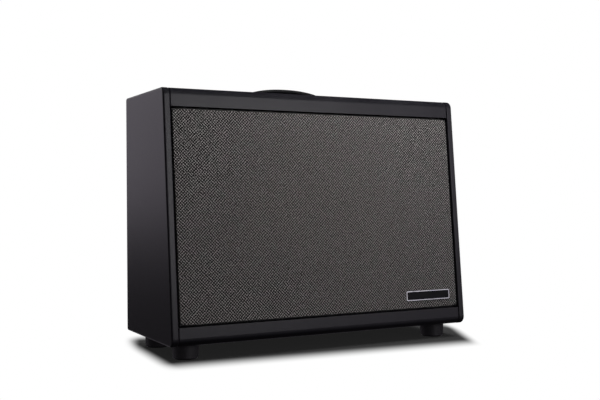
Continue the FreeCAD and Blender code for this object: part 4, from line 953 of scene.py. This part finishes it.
dial = sum(box_of("volume_knob")) / 2
dial[1] = print_base
sweep = np.radians(np.linspace(-150, 150, stroke_count))
spoke = np.stack([np.sin(sweep), np.zeros(stroke_count), np.cos(sweep)], -1)
strokes = slab(dial + dial_radius * spoke, np.cross(spoke, rearward), spoke, *stroke_half, print_thickness,
               power=6, edge=print_edge, sides=16)
add_piece("dial_strokes", strokes, "cabinet", "badge_rim")

mark_spots = []
for node in ("home_button", "lift_button", "input_jack_1", "input_jack_2"):
    low, high = box_of(node)
    mark_spots.append(((low[0] + high[0]) / 2, print_base, high[2] + dot_gap))
low, high = box_of("link_jacks")
for x in (low[0] + jack_half, high[0] - jack_half):
    mark_spots.append((x, print_base, high[2] + dot_gap))
dots = slab(mark_spots, (-1, 0, 0), (0, 0, 1), dot_radius, dot_radius, print_thickness,
            power=2, edge=print_edge, sides=20)
add_piece("panel_dots", dots, "cabinet", "badge_rim")

# %% [markdown]
# The picture is taken in a plain studio. To the camera the floor is white by a glow of its own, which falls
# on nothing else, so the background is white without more light on the cabinet. Under the cabinet the white
# gives way to the floor's own dark surface. That patch is painted with six soft straight edges: it stands
# for the shade there, stays where it is when parts move, and isn't the shadow that the lamps cast. A pale
# floor that catches the real shadow would be the better way.

# %% Floor
floor_level = float(cad_low[2])


def studio_floor(white_in_painted_shade=0.013):
    """Six soft edges, left, left rear, front, right front, right and back: each is a smooth step of the
    distance inside a line. Their product is the painted shade, a dark patch, and white takes over as it ends."""
    finish = Finish("studio_floor", Base_Color=(0.03, 0.03, 0.03), Roughness=0.8, Specular_IOR_Level=0.0)
    x, y, _ = finish.parts(finish.place())
    edges = ((x - y * 0.053 + 0.357, 0.021), (x - y * 0.34 + 0.393, 0.021), (y + x * 0.075 + 0.193, 0.054),
             (y * 0.49 - x + 0.428, 0.018), (0.43 - x, 0.03), (0.22 - y, 0.05))
    # The painted shade keeps this small share of white where it is darkest
    shade = 1 - white_in_painted_shade
    for inside, soft in edges:
        shade = shade * finish.step(inside, -soft, soft)
    camera, glossy, through = finish.light_paths()
    seen = camera.math("MAXIMUM", glossy).math("MAXIMUM", through)
    white = finish.node("Emission", inputs={"Color": (1, 1, 1), "Strength": 1.0})
    shader = Value(finish, finish.shader.outputs[0])
    shown = finish.node("MixShader", inputs={0: (1 - shade) * seen, 1: shader, 2: white})
    output = next(node for node in finish.tree.nodes if node.bl_idname == "ShaderNodeOutputMaterial")
    finish.link(output.inputs["Surface"], shown)
    return finish.material


def disc_floor(radius=9.0, sides=96, rings=24):
    """Flat rings from the middle outwards."""
    reach = radius * np.linspace(0, 1, rings) ** 2
    return turned(np.stack([reach, np.zeros(rings)], -1), (0, 0, floor_level), (0, 0, 1), sides)


floor_rings = disc_floor()
floor_mesh = bpy.data.meshes.new("studio_floor")
floor_mesh.from_pydata(floor_rings.reshape(-1, 3), [], grid_faces(*floor_rings.shape[:2]))
floor_mesh.materials.append(studio_floor())
floor = bpy.data.objects.new("studio_floor", floor_mesh)
bpy.context.scene.collection.objects.link(floor)
floor.visible_glossy = False
print("floor at", round(floor_level, 4))

# %% [markdown]
# Light comes from a dim, even sky and from five large soft boxes. One hangs over the cabinet, two stand in
# front, and two behind it, so that the back can be looked at too. Vinyl shows its shape by what it mirrors:
# for mirrors the sky has pale walls in front and behind, which end a little above the floor. Mirrors don't
# see the floor itself, and a faint band below the horizon stands for it.

# %% Sky and soft boxes
def studio_sky(light=0.1, gloom=0.02, ground=0.16, tint=(1.0, 0.92, 1.06)):
    """White for the camera and through glass; a dim tinted grey for light. For mirrors it is made of smooth
    steps: pale walls from the horizon up to a low height, a faint band below, and gloom elsewhere."""
    world = bpy.data.worlds.new("studio_sky")
    world.use_nodes = True
    sky = Wiring(world.node_tree)
    background = sky.tree.nodes["Background"]
    x, y, height = sky.parts(sky.node("TexCoord", output="Generated"))
    camera, glossy, through = sky.light_paths()
    low = 1 - sky.step(height, 0.25, 0.38)
    walls = sky.step((y * 0.88 - x * 0.47).math("ABSOLUTE"), 0.58, 0.86)
    floor_line = sky.step(height + y * 0.045, 0.002, 0.032)
    pale = 1 - sky.step(y, -0.3, 0.3) * 0.42
    below = sky.step(height * -1, 0.18, 0.3) * (1 - sky.step(height * -1, 0.4, 0.55)) * ground
    wall = low * walls * floor_line * pale * (1 - gloom) + below + gloom
    seen = camera.math("MAXIMUM", through)
    unseen = glossy * wall + (1 - glossy) * light
    sky.link(background.inputs["Strength"], seen + (1 - seen) * unseen)
    sky.link(background.inputs["Color"], sky.mix(seen, tint, (1.0, 1.0, 1.0)))
    bpy.context.scene.world = world


def soft_box(name, place, target, size, watts, mirrored=True):
    """A rectangular lamp at a place, turned to a target, which the camera doesn't see."""
    lamp = bpy.data.lights.new(name, "AREA")
    lamp.shape = "RECTANGLE"
    lamp.size, lamp.size_y = size
    lamp.energy = watts
    light = bpy.data.objects.new(name, lamp)
    light.location = place
    toward = np.array(target, float) - np.array(place, float)
    flat = math.hypot(toward[0], toward[1])
    light.rotation_euler = (math.atan2(flat, -toward[2]), 0, math.atan2(-toward[0], toward[1]))
    light.visible_glossy = mirrored
    light.visible_camera = False
    bpy.context.scene.collection.objects.link(light)


studio_sky()
aim = (0, 0, 0.27)
soft_box("overhead_box", (0.0, 0.25, 2.4), aim, (0.7, 0.5), 26, False)
soft_box("back_left_box", (-1.5, 1.9, 1.6), aim, (1.4, 1.2), 6)
soft_box("front_box", (0.36, -0.64, 1.3), aim, (0.9, 0.7), 20, False)
soft_box("rail_box", (0.84, -2.55, 0.9), aim, (1.1, 0.9), 10)
soft_box("rear_box", (0.7, 2.3, 1.3), aim, (1.2, 1.0), 80, False)

# %% [markdown]
# The camera stands in front and to the left of the cabinet, a little above its middle, and looks level, so
# upright edges don't converge. It is rolled by a third of a degree, and a very small lens shift sets the
# cabinet's height in the frame.

# %% Camera
camera_data = bpy.data.cameras.new("camera")
camera_data.lens = 54.09
camera_data.sensor_width = 36
camera_data.shift_y = -0.003
camera = bpy.data.objects.new("camera", camera_data)
camera.location = (-0.9460, -1.7930, 0.3198)
camera.rotation_euler = (math.radians(90), math.radians(0.35), math.radians(-27.92))
bpy.context.scene.collection.objects.link(camera)
bpy.context.scene.camera = camera
bpy.context.scene.view_settings.view_transform = "Standard"
print("camera at", tuple(round(c, 3) for c in camera.location))
